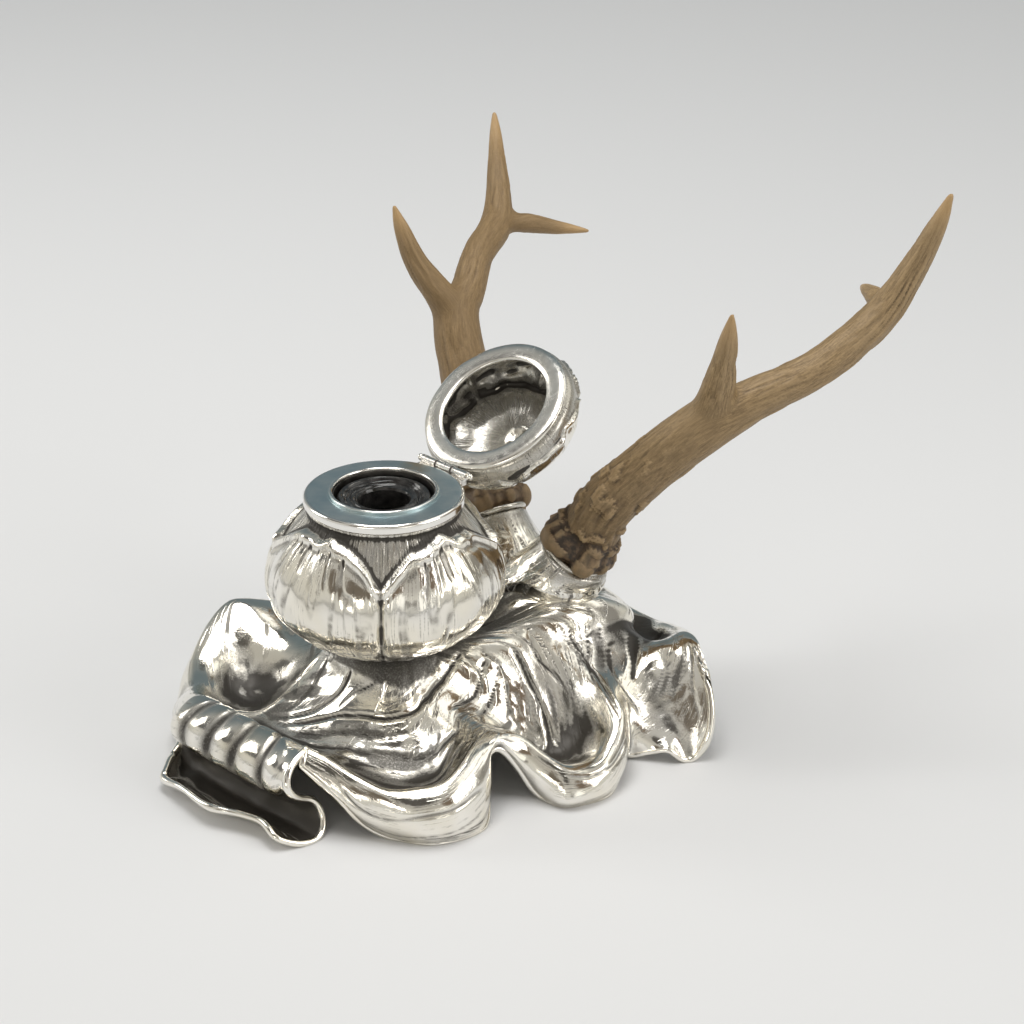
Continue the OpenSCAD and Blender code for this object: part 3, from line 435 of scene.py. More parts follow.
def on_drapery(points, numbers, place, crease):
    """Points of the sheet, in millimetres, along a crease given as rib numbers and places."""
    line = np.array([(k, v, 0) for k, v in crease], float)
    fine = along(line, np.linspace(0, len(line) - 1, 14 * len(line)))
    found = []
    for k, v in fine[:, :2]:
        i = min(max(np.searchsorted(numbers, k % LAST), 1), len(numbers) - 1)
        w = (k % LAST - numbers[i - 1]) / (numbers[i] - numbers[i - 1])
        column, places = (a[i - 1] * (1 - w) + a[i] * w for a in (points, place))
        found.append([np.interp(v, places, column[:, n]) for n in range(3)])
    return np.array(found)


def crease_relief(points, numbers, place):
    """Grooves along the creases, each with a low bead on either side, and how dark each point is."""
    flat = points.reshape(-1, 3)
    relief, ink = np.zeros(len(flat)), np.zeros(len(flat))
    for crease, depth, width in CREASES:
        line = on_drapery(points, numbers, place, crease)
        near = np.where((np.abs(flat - line.mean(0)).max(1) < np.ptp(line, axis=0).max() / 2 + 8))[0]
        gaps = np.linalg.norm(flat[near, None] - line[None], axis=2)
        nearest = gaps.argmin(1)
        gap = gaps.min(1)
        ends = soft(np.minimum(nearest, len(line) - 1 - nearest) / (0.18 * len(line)))
        wobble = 0.8 + 0.4 * noise(nearest * 0.16, depth * 9, 5)
        groove = 0.6 * swell(gap / width) - 0.1 * swell((gap - 2 * width) / width)
        relief[near] -= ends * depth * wobble * groove
        dark = ends * soft(1.9 * depth * wobble) * swell(gap / (0.7 * width))
        ink[near] = np.maximum(ink[near], dark)
    return relief.reshape(points.shape[:2]), ink.reshape(points.shape[:2])


# How much the chased lines lean across the ribs, by rib: near the front they run round the mound
LEAN = ([0, 8, 12, 17, 20, 24, 34, 38, 42, 48], [.35, .5, 1.7, 2.6, 3.4, 2.4, 2.4, 1.6, .6, .35])
# how many lines' widths there are all the way round
ROUND = 80.0


def flow_lines(numbers, place):
    """Numbers that stay the same along each chased line, and numbers that grow along it."""
    lean = np.interp(numbers, *LEAN)
    across = np.concatenate([[0], np.cumsum(np.diff(numbers) * (lean[1:] + lean[:-1]) / 2)])
    turn = 2 * math.pi * numbers[:, None] / LAST
    return 25 * place + across[:, None] * ROUND / across[-1], 3 * place + 6 * np.sin(turn)


def patch(numbers, place, k, v, wide, long):
    """1 round rib k and place v, fading to 0."""
    gap = (numbers[:, None] - k + LAST / 2) % LAST - LAST / 2
    return swell(gap / wide) * swell((place - v) / long)


# Wide dips that are painted dark, partly oxide and partly painted shade: rib, place, width and length
# there, and how much
DARK_DIPS = ((2, .57, 4.6, .09, .75), (46.5, .6, 2, .1, .7), (15.2, .76, 1.5, .15, .7),
          (42.8, .5, 1.5, .2, .9), (20.7, 1.25, 1.7, .12, .8), (39, .64, 1.4, .13, .9),
          (11, .86, 1.6, .06, .5), (19, .75, .9, .3, .55), (24, .6, 2, .2, .5), (30, .6, 3, .2, .5),
          (36, .62, 1, .2, .4), (5, 1.84, 3.4, .07, .5), (14, 1.86, 2, .06, .45))
# Where the sheet is crumpled: rib, place, width and length there, and how much
CRUMPLES = ((38.6, .8, 1.6, .2, 1), (13.2, .7, 1.6, .2, .8), (21, 1.3, 1.4, .3, .7))
# The ribs that the dark bands between the roll's beads follow
ROLL_BANDS = (43.2, 44.15, 45.1, 46.35)


def dips_and_bowl_shadow(numbers, place, cross, run):
    """Ragged dark patches in the wide dips, partly oxide and partly painted shade, and a painted shadow
    under the bowl.
    """
    # painted shadow on the sheet just under the bowl
    amount = 0.95 * soft((0.38 - place) / 0.12)
    for k, v, wide, long, share in DARK_DIPS:
        amount = np.maximum(amount, share * patch(numbers, place, k, v, wide, long))
    rag = 0.75 * noise(cross * 1.8, run * 0.5, 34, 144) + 0.25 * noise(cross * 4, run * 4, 35, 320)
    return 0.92 * soft((1.1 * amount - rag) / 0.2)


def drapery_relief(points, numbers, place):
    """How far each point stands out from the plain sheet, and how dark it is."""
    column = numbers[:, None]
    cross, run = flow_lines(numbers, place)
    skirt = soft((place - 0.9) / 0.2)
    mound = soft((place - 0.12) / 0.12) * (1 - skirt)
    lively = soft(2.4 * noise(cross * 0.1, run * 0.3, 21, 8) - 0.8)
    chasing = grooves(cross * 0.8, run * 0.35, 22)
    relief = -0.3 * mound * lively * chasing
    relief += 0.5 * (noise(cross * 0.2, run * 0.4, 24, 16) - 0.5) * mound
    roll = soft((column - 41.8) / 0.6) * soft((47.6 - column) / 0.6) * swell((place - 1.14) / 0.24)
    beads = np.min([np.abs(column - k) for k in ROLL_BANDS], axis=0)
    relief += 0.8 * roll * soft(beads / 0.45)
    cup = soft((column - 41.5) / 0.8) * soft((place - 1.42) / 0.1)
    # painted shade in the wide dips, and painted shadow under the bowl
    dip_and_bowl_shade = dips_and_bowl_shadow(numbers, place, cross, run)
    streaks = grooves(place * 26, column * 0.9, 28)
    relief -= 0.35 * cup * streaks
    crumple = sum(share * patch(numbers, place, *where) for *where, share in CRUMPLES)
    relief += 0.9 * crumple * (noise(column * 1.7, place * 16, 25) - 0.5)
    relief += 0.35 * crumple * (noise(column * 5, place * 46, 26) - 0.5)
    dark = roll * swell(beads / 0.22) * (1.0 + 0.4 * noise(place * 14, column, 27))
    cup_dark = soft(3.2 * noise(place * 30, column * 1.5, 29) - 1.3)
    cup_dark = 0.55 * cup * cup_dark * soft((1.95 - place) / 0.04)
    chased_dark = 0.6 * mound * lively * soft((chasing - 0.6) / 0.4)
    creased, ink = crease_relief(points, numbers, place)
    return relief + creased, np.max([ink, dark, cup_dark, dip_and_bowl_shade, chased_dark], axis=0)


# A neck's radius at its mouth, how much wider it gets for each millimetre down, and its length
NECK_RADIUS, NECK_TAPER, NECK_LENGTH = 14.2, 3.8 / 26, 26


def socket_gap(points, side):
    """Distance outside the neck's cone, the direction away from its axis, and the height along it."""
    up = socket_axes(side)[2]
    offset = points - socket_centre(side)
    height = offset @ up
    out = offset - height[..., None] * up
    radius = np.linalg.norm(out, axis=-1)
    gap = (radius - (NECK_RADIUS - NECK_TAPER * height)) * 0.99
    return gap, out / np.maximum(radius, 1e-6)[..., None], height


# how near the necks and the sheet must be for each to swell towards the other
FILLET = 28.0


def fillet(gap):
    """How far two surfaces swell where they meet, and how much each turns towards the other."""
    near = np.clip(1 - np.abs(gap) / FILLET, 0, 1)
    return near**2 * FILLET / 4, 0.5 * near


def neck_points(side, sheet_tree, sheet_points, sheet_normals):
    """A socket's neck: a fluted cone that swells where it meets the sheet."""
    columns, rows = 128, 34
    across, round_, up = socket_axes(side)
    angle = full_turn(columns)
    share = angle / (2 * math.pi)
    height = np.linspace(-NECK_LENGTH, 0, rows)[None, :]
    out = np.cos(angle)[..., None] * across + np.sin(angle)[..., None] * round_
    flutes = grooves(share * 22, height * 0.03 + side, 31, 22)
    radius = NECK_RADIUS - NECK_TAPER * height - 0.3 * flutes * soft(-height / 9)
    radius = radius + 0.15 * (noise(share * 30, height * 0.5, 32, 30) - 0.5) * soft(-height / 3)
    radius = radius - 0.8 * soft((height + 1.2) / 1.2)
    points = socket_centre(side) + radius[..., None] * out + height[..., None] * up
    flat = points.reshape(-1, 3)
    nearest = np.array([sheet_tree.find(Vector(p))[1] for p in flat])
    gap = ((flat - sheet_points[nearest]) * sheet_normals[nearest]).sum(1)
    amount, turn = fillet(np.where(gap > FILLET, FILLET, gap))
    outwards = out.repeat(rows, 1).reshape(-1, 3)
    direction = unit((1 - turn)[:, None] * outwards + turn[:, None] * sheet_normals[nearest])
    return flat + amount[:, None] * direction, columns, rows


BEAD_RADIUS, BEAD_COLUMNS = 1.45, 12


def edge_bead(upper, lower, radius):
    """A rounded lip along the sheet's free edge: a closed ring, a little uneven in thickness."""
    middle = (upper + lower) / 2
    for _ in range(6):
        middle = 0.5 * middle + 0.25 * (np.roll(middle, 1, 0) + np.roll(middle, -1, 0))
    ahead = unit(np.roll(middle, -1, 0) - np.roll(middle, 1, 0))
    across = upper - lower
    across = unit(across - (across * ahead).sum(1)[:, None] * ahead)
    out = np.cross(ahead, across)
    run = run_along(middle)
    radius = radius * (0.85 + 0.4 * noise(run / 9, 0 * run, 33))
    turn = full_turn(BEAD_COLUMNS)[None]
    away = np.cos(turn) * across[:, None] + np.sin(turn) * out[:, None]
    points = middle[:, None] + radius[:, None, None] * away
    points[..., 2] = np.maximum(points[..., 2], 0)
    return points.reshape(-1, 3)


# the least height of the sheet's upper side, so that it stays clear of the underside
LOWEST_TOP = 0.6


def make_drapery():
    """The whole base: both sides of the sheet, joined round the free edge, and the two necks."""
    top, numbers, place = drapery_grid()
    columns, rows = top.shape[:2]
    # up to the crest the sheet closes on itself, and beyond it the first and last ribs lie apart
    shut = slice(CREST_ROW + 1)
    normals = grid_normals(top, False)
    closed = grid_normals(top[:-1], True)
    normals[:-1, shut], normals[-1, shut] = closed[:, shut], closed[0, shut]
    normals[:, :3] = [0, 0, 1]
    under = top - SHEET * normals
    flat_out = unit(normals[:, -1] * [1, 1, 0])
    under[:, -1] = top[:, -1] - SHEET * flat_out
    relief, ink = drapery_relief(top, numbers, place)
    relief[:, :3] = 0
    relief[-1, shut] = relief[0, shut]
    top = top + relief[..., None] * normals
    for side in (-1, 1):
        gap, out, height = socket_gap(top, side)
        amount, turn = fillet(np.where(height < 4, gap, FILLET))
        direction = unit((1 - turn)[..., None] * normals + turn[..., None] * out)
        top = top + (amount * (gap > -FILLET / 2))[..., None] * direction
    top[..., 2] = np.maximum(top[..., 2], LOWEST_TOP)
    under[..., 2] = np.maximum(under[..., 2], 0)

    i, j = np.meshgrid(np.arange(columns), np.arange(rows), indexing="ij")
    spot = np.where((i == columns - 1) & (j <= CREST_ROW), 0, i) * rows + j
    quads = np.stack([spot[:-1, :-1], spot[:-1, 1:], spot[1:, 1:], spot[1:, :-1]], -1).reshape(-1, 4)
    below = quads[:, ::-1] + columns * rows
    edge = [spot[i, rows - 1] for i in range(columns)]
    edge += [spot[columns - 1, j] for j in range(rows - 2, CREST_ROW - 1, -1)]
    edge += [spot[0, j] for j in range(CREST_ROW + 1, rows - 1)]
    edge = np.array(edge)
    following = np.roll(edge, -1)
    lower = columns * rows
    rim = np.stack([edge, edge + lower, following + lower, following], -1)
    hole, hole_next = spot[:-1, 0], spot[1:, 0]
    bore = np.stack([hole, hole_next, hole_next + lower, hole + lower], -1)

    flat_top = top.reshape(-1, 3)
    flat_normals = normals.reshape(-1, 3)
    tree = kdtree.KDTree(len(flat_top))
    for n, p in enumerate(flat_top):
        tree.insert(p, n)
    tree.balance()
    points = [flat_top, under.reshape(-1, 3)]
    faces = [quads, below, rim, bore]
    caps = []
    cross, run = flow_lines(numbers, place)
    live = soft((place - .15) / .1) * (1 - 0.6 * soft((place - .95) / .15))
    live = live * soft(numbers[:, None] / 0.4) * soft((LAST - numbers[:, None]) / 0.4)
    flow = [as_list(cross, run, live), np.zeros((lower, 3))]
    inks = [ink.ravel(), np.zeros(lower)]
    for side in (-1, 1):
        start = sum(len(p) for p in points)
        neck, neck_columns, neck_rows = neck_points(side, tree, flat_top, flat_normals)
        points.append(neck)
        faces.append(wrap_quads(neck_columns, neck_rows) + start)
        ring = np.arange(neck_columns) * neck_rows + start
        caps += [ring, ring[::-1] + neck_rows - 1]
        turn = np.linspace(0, 60, neck_columns, endpoint=False)[:, None]
        rise = np.linspace(0, 3, neck_rows)[None, :].repeat(neck_columns, 0)
        flow.append(as_list(turn, rise, 1.0))
        inks.append(0.5 * soft((rise - 1.7) / 1.0).ravel())
    bead = edge_bead(flat_top[edge], points[1][edge], BEAD_RADIUS)
    start = sum(len(p) for p in points)
    points.append(bead)
    faces.append(wrap_quads(len(edge), BEAD_COLUMNS, True, True) + start)
    flow.append(np.zeros((len(bead), 3)))
    inks.append(np.zeros(len(bead)))
    points = np.concatenate(points)
    used = np.zeros(len(points), bool)
    quads = np.concatenate(faces)
    used[quads.ravel()] = True
    renumber = np.cumsum(used) - 1
    points = points[used]
    piece = make_piece("drapery", points, renumber[quads], [renumber[c] for c in caps])
    gaps = [socket_gap(points, side) for side in (-1, 1)]
    gap = np.min([np.where(height < 6, gap, FILLET) for gap, _, height in gaps], axis=0)
    # less oxide where the sheet sweeps up into the necks
    store_hollows(piece.data, 14, 0.15 + 0.85 * soft((gap - 4) / 10))
    mark(piece.data, np.concatenate(flow)[used], np.concatenate(inks)[used])
    return piece


# ---- bowl and lid ----

# The bowl's outline outside, from the screw's hole up to the collar, and inside from there down
BOWL_LINE = [(2.3, 50), (13, 50), (21, 51), (31, 55.5), (40.5, 62.5), (46.5, 70), (48.3, 79), (46.4, 89),
             (41, 98.5), (34.5, 107), (31.5, 112)]
BOWL_INSIDE = [(28.6, 110), (31, 105.2), (37.6, 96.6), (43, 88), (45, 79), (43.4, 71.6), (38.4, 65),
               (30, 58), (18, 53), (2.3, 53)]
# how far a petal stands out from the ground above it, and its lip from the petal
PETAL_STEP, PETAL_LIP = 2.0, 1.2


def petal_angle(turn):
    """Degrees from the middle of the nearest of the four petals."""
    return (turn + 45) % 90 - 45


def petal_top(p, turn):
    """Height of a petal's wavy lip at p degrees from its middle."""
    wave = 2.6 * (noise(turn / 9, 0, 41, 40) - 0.5) + 0.5 * (noise(turn / 3.6, 0, 40, 100) - 0.5)
    return 107.2 - 14 * (np.abs(p) / 45) ** 3 + wave * soft((46 - np.abs(p)) / 10)


def bowl_veins(turn, z):
    """A number that stays the same along each vein; the veins bow outwards from each petal's middle."""
    p = petal_angle(turn)
    return p / (0.72 + 0.28 * np.cos(np.radians((z - 80) * 2.6)))


def bowl_relief(turn, z):
    """How far the bowl stands out, and how dark it is, with painted shade round its foot."""
    p = petal_angle(turn)
    aside = 45 - np.abs(p)
    drop = petal_top(p, turn) - z
    petal = soft(drop / 1.0)
    veins = bowl_veins(turn, z)
    relief = PETAL_STEP * (petal - 1) + PETAL_LIP * swell((drop - 1.9) / 1.5)
    relief -= 0.45 * petal * swell((drop - 5.2) / 1.4) * (0.3 + noise(turn / 5, 0, 43, 72))
    relief -= petal * 1.5 * swell(aside / 1.7) * (0.7 + 0.6 * noise(z / 3, turn * 0, 42))
    relief += petal * 0.7 * swell((aside - 4.5) / 2.6) * soft((z - 58) / 10)
    relief += petal * 1.5 * (noise(veins * 0.12, z * 0.05, 49) - 0.5) * soft((z - 56) / 6)
    thin = soft(1 - 9 * np.abs(noise(veins * 0.20, z * 0.03, 45) - 0.5))
    relief -= 0.25 * petal * thin * soft((z - 58) / 6) * soft((drop - 10) / 8)
    dent = soft((grooves(veins * 0.17, z * 0.05, 46) - 0.66) / 0.26)
    dent = dent * soft((drop - 2) / 2) * soft((20 - drop) / 10)
    dent = dent * soft(2.6 * noise(turn / 10, z / 9, 44, 36) - 0.9)
    relief -= 0.7 * petal * dent
    ground = (1 - petal) * grooves(turn * 0.75, z * 0.06, 47, 270)
    relief -= 0.3 * ground
    gather = soft((63 - z) / 4) * soft((z - 51) / 3)
    relief += gather * 1.3 * (noise(turn / 6 + z / 6, z / 2.2, 48, 60) - 0.5)
    bead = swell(aside / 2.2) * swell((z - 60) / 2.2)
    relief -= 1.6 * bead
    ink = (1 - petal) * (0.28 + 0.35 * ground) + petal * (0.85 * swell(aside / 1.0) + 0.7 * dent + bead)
    ink = ink + 0.8 * petal * thin * soft((drop - 8) / 8) * noise(turn / 4, z / 1.5, 50, 90)
    # painted shade round the bowl's foot, where it sits on the sheet, broken into streaks
    streaks = soft(2.6 * noise(turn / 3, z / 5, 39, 120) - 0.5 + 1.5 * soft((54 - z) / 2))
    under = soft((60.5 - z) / 5) * streaks
    return relief, np.clip(np.maximum(ink, 0.8 * under), 0, 1)


def revolve(line, rows, columns, relief=None):
    """A grid of points round the axis from a smooth outline of (radius, height)."""
    t = even_steps(line, 0, len(line) - 1, rows - 1)
    outline = along(line, t)
    turn = degrees_round(columns)
    radius, height = outline[None, :, 0], outline[None, :, 1] + 0 * turn
    ink = 0 * height
    if relief is not None:
        row = np.arange(rows)
        live = soft((row - 4) / 8) * soft((rows - 1 - row) / 4)
        change, ink = relief(turn, height)
        radius = radius + live * change
    return spun(radius, turn, height), ink


def make_bowl():
    columns, rows, inner_rows = 620, 112, 24
    outer, ink = revolve(BOWL_LINE, rows, columns, bowl_relief)
    inner, clean = revolve(BOWL_INSIDE, inner_rows, columns)
    grid = np.concatenate([outer, inner], 1)
    piece = make_piece("bowl_petals", grid.reshape(-1, 3),
                       wrap_quads(columns, rows + inner_rows, True, True, flip=True))
    store_hollows(piece.data)
    z = grid[..., 2]
    turn = degrees_round(columns) + 0 * z
    live = np.where(np.arange(rows + inner_rows) < rows, 0.45, 0)
    drop = petal_top(petal_angle(turn), turn) - z
    cross = np.where(drop > 0, bowl_veins(turn, z) * 0.8, turn * 1.6)
    mark(piece.data, as_list(cross, z * 0.16, live), np.concatenate([ink, clean], 1))
    return piece


# The shut lid's outline outside, from the ring up to the pole, and inside from there down
LID_LINE = [(29.4, 118.8), (31.2, 118.8), (33.2, 120.8), (34.1, 124.5), (33, 130), (29.5, 135.4),
            (23.5, 139.7), (15, 142.5), (6, 143.7), (.4, 144)]
LID_INSIDE = [(.4, 141.6), (6, 141.6), (14.2, 140.4), (22.2, 137.7), (27.6, 133.9), (30.8, 129.2),
              (31.6, 124.5), (30.6, 120.6), (29.5, 118.9)]


def lid_relief(turn, z):
    """Petals seen from outside, their wavy lips just above the ring, and how dark they are."""
    p = petal_angle(turn)
    edge = 123.5 + 2.6 * (noise(turn / 9, 0, 51, 40) - 0.3) + 6 * (np.abs(p) / 45) ** 4
    above = soft((z - edge) / 1.0)
    relief = 0.9 * (above - 1) + 0.8 * swell((z - edge - 1.2) / 1.0)
    relief -= above * 1.2 * swell((45 - np.abs(p)) / 2.4)
    relief += above * 1.2 * (noise(turn / 11, z / 14, 52, 33) - 0.5)
    dent = soft((grooves(turn * 0.22, z * 0.05, 54, 80) - 0.66) / 0.26) * soft((edge + 10 - z) / 4)
    dent = dent * soft(2.4 * noise(turn / 12, z / 6, 53, 30) - 0.9)
    relief -= 0.7 * above * dent
    ink = 0.5 * (1 - above) + above * (0.8 * swell((45 - np.abs(p)) / 1.4) + 0.7 * dent)
    return relief, np.clip(ink, 0, 1)


# How far from the pole the lid's inner lobe ends, by degrees round the shut lid
LOBE_END = ([60, 115, 170, 225, 300, 360, 420], [31, 30, 27, 23, 20, 20, 31])


def lid_inner_relief(turn, z, radius):
    """Inside the lid: a smooth lobe over the pole, a fold round it with painted shadow along it, and a
    hammered wall. Gives how far each point stands in, and how dark it is."""
    end = np.interp(turn, *LOBE_END)
    end = end + 2.4 * (noise(turn / 15, 0, 59, 24) - 0.5)
    inside = end - radius
    lobe = 1.8 * soft(inside / 8) - 1.6 * swell((inside + 1.6) / 1.8)
    wall = 1 - soft((inside + 2) / 3)
    deep = z - radius
    rough = 1.6 * (noise(turn / 9, deep / 3.4, 55, 40) - 0.5)
    rough += 2.6 * (noise(turn / 18, deep / 8, 56, 20) - 0.5)
    ridges = swell((turn - 232 + deep / 3) / 2.6) + 0.7 * swell((turn - 262) / 3)
    # painted shadow along the fold round the lobe
    ink = swell((inside + 2.8) / 4.2) * (0.7 + 0.5 * noise(turn / 8, deep / 5, 58, 45))
    ink = np.maximum(ink, wall * soft(3.4 * noise(turn / 6, deep / 3.5, 60, 60) - 1.5) * 0.85)
    ink = np.maximum(ink, (1 - wall) * 0.35)
    return lobe + wall * (rough + ridges), np.clip(ink, 0, 1)


def make_lid():
    columns, rows, inner_rows = 400, 64, 60
    outer, ink = revolve(LID_LINE, rows, columns, lid_relief)
    inner = revolve(LID_INSIDE, inner_rows, columns)[0]
    turn = degrees_round(columns) + 0 * inner[..., 2]
    out = spun(1, turn, 0 * turn)
    radius = np.hypot(inner[..., 0], inner[..., 1])
    row = np.arange(inner_rows)
    live = soft((radius - 1) / 5) * soft((inner_rows - 1 - row) / 6)
    slope = soft(radius / 30)
    change, inner_ink = lid_inner_relief(turn, inner[..., 2], radius)
    change = np.minimum(change, 3.2) * live
    inner = inner - (change * slope)[..., None] * out
    inner[..., 2] -= change * (1 - 0.6 * slope)
    grid = np.concatenate([outer, inner], 1)
    total = rows + inner_rows
    start = np.arange(columns) * total
    quads = wrap_quads(columns, total, True, True, flip=True).reshape(columns, total, 4)
    quads = np.delete(quads, rows - 1, 1).reshape(-1, 4)
    caps = [start + rows - 1, (start + rows)[::-1]]
    piece = make_piece("lid_petals", opened(grid.reshape(-1, 3)), quads, caps)
    store_hollows(piece.data)
    flow = as_list(degrees_round(columns) * 0.6, grid[..., 2] * 0.16, 1.0)
    mark(piece.data, flow, np.concatenate([ink, inner_ink * live], 1))
    return piece


# ---- antlers ----

# Each beam and tine: points down its middle, each with its radius, as in the CAD source
RIGHT_BEAM = [(41, 89, 96, 12.2), (59, 99, 118, 11.6), (75, 109, 135, 11.4), (88, 126, 146, 9),
              (98, 146, 154, 8), (104, 163, 163, 8), (109, 179, 175, 7.6), (116, 187, 193, 5.9),
              (123, 191, 211, 4.2), (128, 193, 226, 1.2)]
RIGHT_BROW = [(72, 110, 131, 9.4), (79, 109, 146, 8.2), (87, 104, 164, 5.8), (93, 100, 180, 3.8),
              (97, 97, 192, 1)]
RIGHT_REAR = [(108, 177, 172, 4), (99, 186, 175, 4.6), (88, 195, 173, 3.4), (79, 202, 171, 1.6)]
LEFT_BEAM = [(-43, 96, 96, 12), (-61, 105, 117, 11.2), (-75, 113, 139, 10.4), (-80, 125, 148, 8),
             (-91, 142, 157, 7.4), (-102, 164, 163, 7.6), (-111, 175, 171, 6.2), (-121, 184, 181, 4.8),
             (-128, 190, 193, 3.2), (-133, 194, 203, 1.2)]
LEFT_BROW = [(-73, 114, 134, 8.6), (-79, 109, 148, 7.4), (-88, 102, 164, 5.4), (-94, 99, 179, 3.6),
             (-97, 97, 190, 1)]
LEFT_REAR = [(-102, 164, 163, 4), (-97, 178, 162, 4.8), (-90, 192, 158, 3.4), (-80, 203, 156, 1)]
# Height along the coronet and its radius there
CORONET = [(0.02, 12.2), (2.6, 12.2), (3.6, 14.8), (6.2, 15.8), (8.8, 14.8), (11.5, 13.4)]
# the mesh's fineness, and the root's height in the socket, with its radius
VOXEL = 0.75
ROOT_HEIGHT, ROOT_RADIUS = 15, 12.6


def coronet_spine(side):
    up = socket_axes(side)[2]
    return [(*(socket_centre(side) + h * up), r) for h, r in CORONET]


def smooth_spine(spine, count):
    return along(spine, even_steps(spine, 0, len(spine) - 1, count))


def spine_axes(middle, side):
    """Two directions square to a spine at each of its points."""
    ref = np.array([-side * 0.7, 0.7, 0])
    ahead = unit(np.gradient(middle, axis=0))
    across = unit(ref - (ahead @ ref)[:, None] * ahead)
    return across, np.cross(ahead, across)


def horn_mesh(name, spines, side):
    """Closed tubes along spines of [x, y, z, radius] rows."""
    points, faces, caps, start = [], [], [], 0
    for spine in spines:
        columns, rows = 40, len(spine)
        across, round_ = spine_axes(spine[:, :3], side)
        angle = full_turn(columns)[..., None]
        out = np.cos(angle) * across + np.sin(angle) * round_
        points.append((spine[:, :3] + spine[:, 3:] * out).reshape(-1, 3))
        faces.append(wrap_quads(columns, rows, flip=True) + start)
        ring = np.arange(columns) * rows + start
        caps += [ring, ring[::-1] + rows - 1]
        start += columns * rows
    return make_piece(name, np.concatenate(points), np.concatenate(faces), caps)


def remeshed(piece, voxel):
    modifier = piece.modifiers.new("union", "REMESH")
    modifier.mode, modifier.voxel_size, modifier.use_smooth_shade = "VOXEL", voxel * MM, True
    graph = bpy.context.evaluated_depsgraph_get()
    mesh = bpy.data.meshes.new_from_object(piece.evaluated_get(graph))
    piece.modifiers.clear()
    piece.data = mesh
    mesh.polygons.foreach_set("use_smooth", np.ones(len(mesh.polygons), bool))
    return piece


def place_on_spines(points, spines, side):
    """For each point: how far along the nearest spine it lies, its turn and the radius there, which
    spine that is, and how nearly another spine is as close."""
    best, second = np.full(len(points), 1e9), np.full(len(points), 1e9)
    run, turn, size, which = (np.zeros(len(points)) for _ in range(4))
    for n, spine in enumerate(spines):
        middle, radius = spine[:, :3], spine[:, 3]
        length = run_along(middle)
        gaps = np.linalg.norm(points[:, None] - middle[None], axis=2)
        nearest = (gaps / radius).argmin(1)
        score = gaps[np.arange(len(points)), nearest] / radius[nearest]
        across, round_ = spine_axes(middle, side)
        offset = points - middle[nearest]
        angle = np.arctan2((offset * round_[nearest]).sum(1), (offset * across[nearest]).sum(1))
        better = score < best
        second = np.where(better, best, np.minimum(second, score))
        best = np.where(better, score, best)
        run = np.where(better, length[nearest], run)
        turn = np.where(better, angle / (2 * math.pi) % 1, turn)
        size = np.where(better, radius[nearest], size)
        which = np.where(better, n, which)
    return run, turn, size, which, soft((2.0 - second) / 0.8)


def make_antler(name, side, beam, brow, rear):
    coronet = coronet_spine(side)
    root = (*(socket_centre(side) + ROOT_HEIGHT * socket_axes(side)[2]), ROOT_RADIUS)
    main = np.vstack([smooth_spine(coronet, 14)[:-1], smooth_spine([coronet[-1], root, *beam], 150)])
    spines = [main, smooth_spine(brow, 50), smooth_spine(rear, 40)]
    piece = remeshed(horn_mesh(name, spines, side), VOXEL)
    mesh = piece.data
    points = read(mesh.vertices, "co") / MM + MIDDLE
    run, turn, size, which, fork = place_on_spines(points, spines, side)
    on_beam = which == 0
    rounded = smoothed(mesh, points, 8)
    blended = smoothed(mesh, rounded, 60)
    rounded = rounded + fork[:, None] * (blended - rounded)
    points = np.where(((run < 14) & on_beam)[:, None], points, rounded)
    set_points(mesh, points)
    normals = read(mesh.vertex_normals, "vector")
    low = on_beam * soft((90 - run) / 70)
    burr = on_beam * swell((run - 6.8) / 4.2)
    tip = soft((5.2 - size) / 3.5) * soft((run - 20) / 20)
    lines = grooves(turn * 18, run * 0.06 + which * 7, 61, 18) * noise(turn * 6, run / 14, 67, 6)
    fine = grooves(turn * 40, run * 0.12 + which * 9, 62, 40)
    relief = -(0.8 * lines + 0.16 * fine) * (1 - tip) * soft(size / 7)
    relief = relief * soft((run - 12) / 10 + (which > 0)) * (1 - fork)
    pearls = noise(turn * 22, run / 4.2, 63, 22) * noise(turn * 9, run / 9, 64, 9)
    relief += low * 1.3 * soft((pearls - 0.36) / 0.3) * soft((run - 10) / 6)
    knobs = soft((noise(turn * 15, run / 3.6 + 3, 65, 15) - 0.35) / 0.4)
    lumps = soft((noise(turn * 9, run / 5 + 1, 68, 9) - 0.3) / 0.5)
    grit = noise(turn * 34, run / 1.8, 66, 34) - 0.5
    relief += burr * (2.6 * knobs + 2.2 * lumps - 1.2 + 1.6 * grit)
    # plain where it goes into the socket
    sink = soft((3.4 - run) / 1.2) * on_beam
    set_points(mesh, points + (relief * (1 - sink))[:, None] * normals)
    store_hollows(mesh, 6)
    store(mesh, "tip", tip)
    store(mesh, "burr", np.clip(burr + 0.35 * low, 0, 1))
    store(mesh, "flow", as_list(turn * 40, run * 0.12 + which * 5, 1.0))
    return piece


# ---- lid ring ----

# Across the ring, from its inner edge over the face and back underneath, as the CAD's ring lies
RING_LINE = [(23.3, 117.6), (23.7, 116.9), (25, 116.45), (27.5, 116.3), (29.6, 116.4), (31, 116.8),
             (31.9, 117.5), (31.9, 118.3), (31, 118.8), (27.5, 118.8), (24.6, 118.7), (23.6, 118.3),
             (23.3, 117.6)]


def make_ring():
    """The lid's broad rounded ring, hammered a little uneven."""
    columns, rows = 240, 48
    outline = along(RING_LINE, np.linspace(0, len(RING_LINE) - 1, rows + 1)[:-1])
    turn = degrees_round(columns)
    sag = 0.22 * (noise(turn / 18, 0, 72, 20) - 0.5)
    points = spun(outline[:, 0] + sag, turn, outline[:, 1])
    return make_piece("lid_rim", opened(points.reshape(-1, 3)),
                      wrap_quads(columns, rows, True, True, flip=True))


# ---- socket lips ----

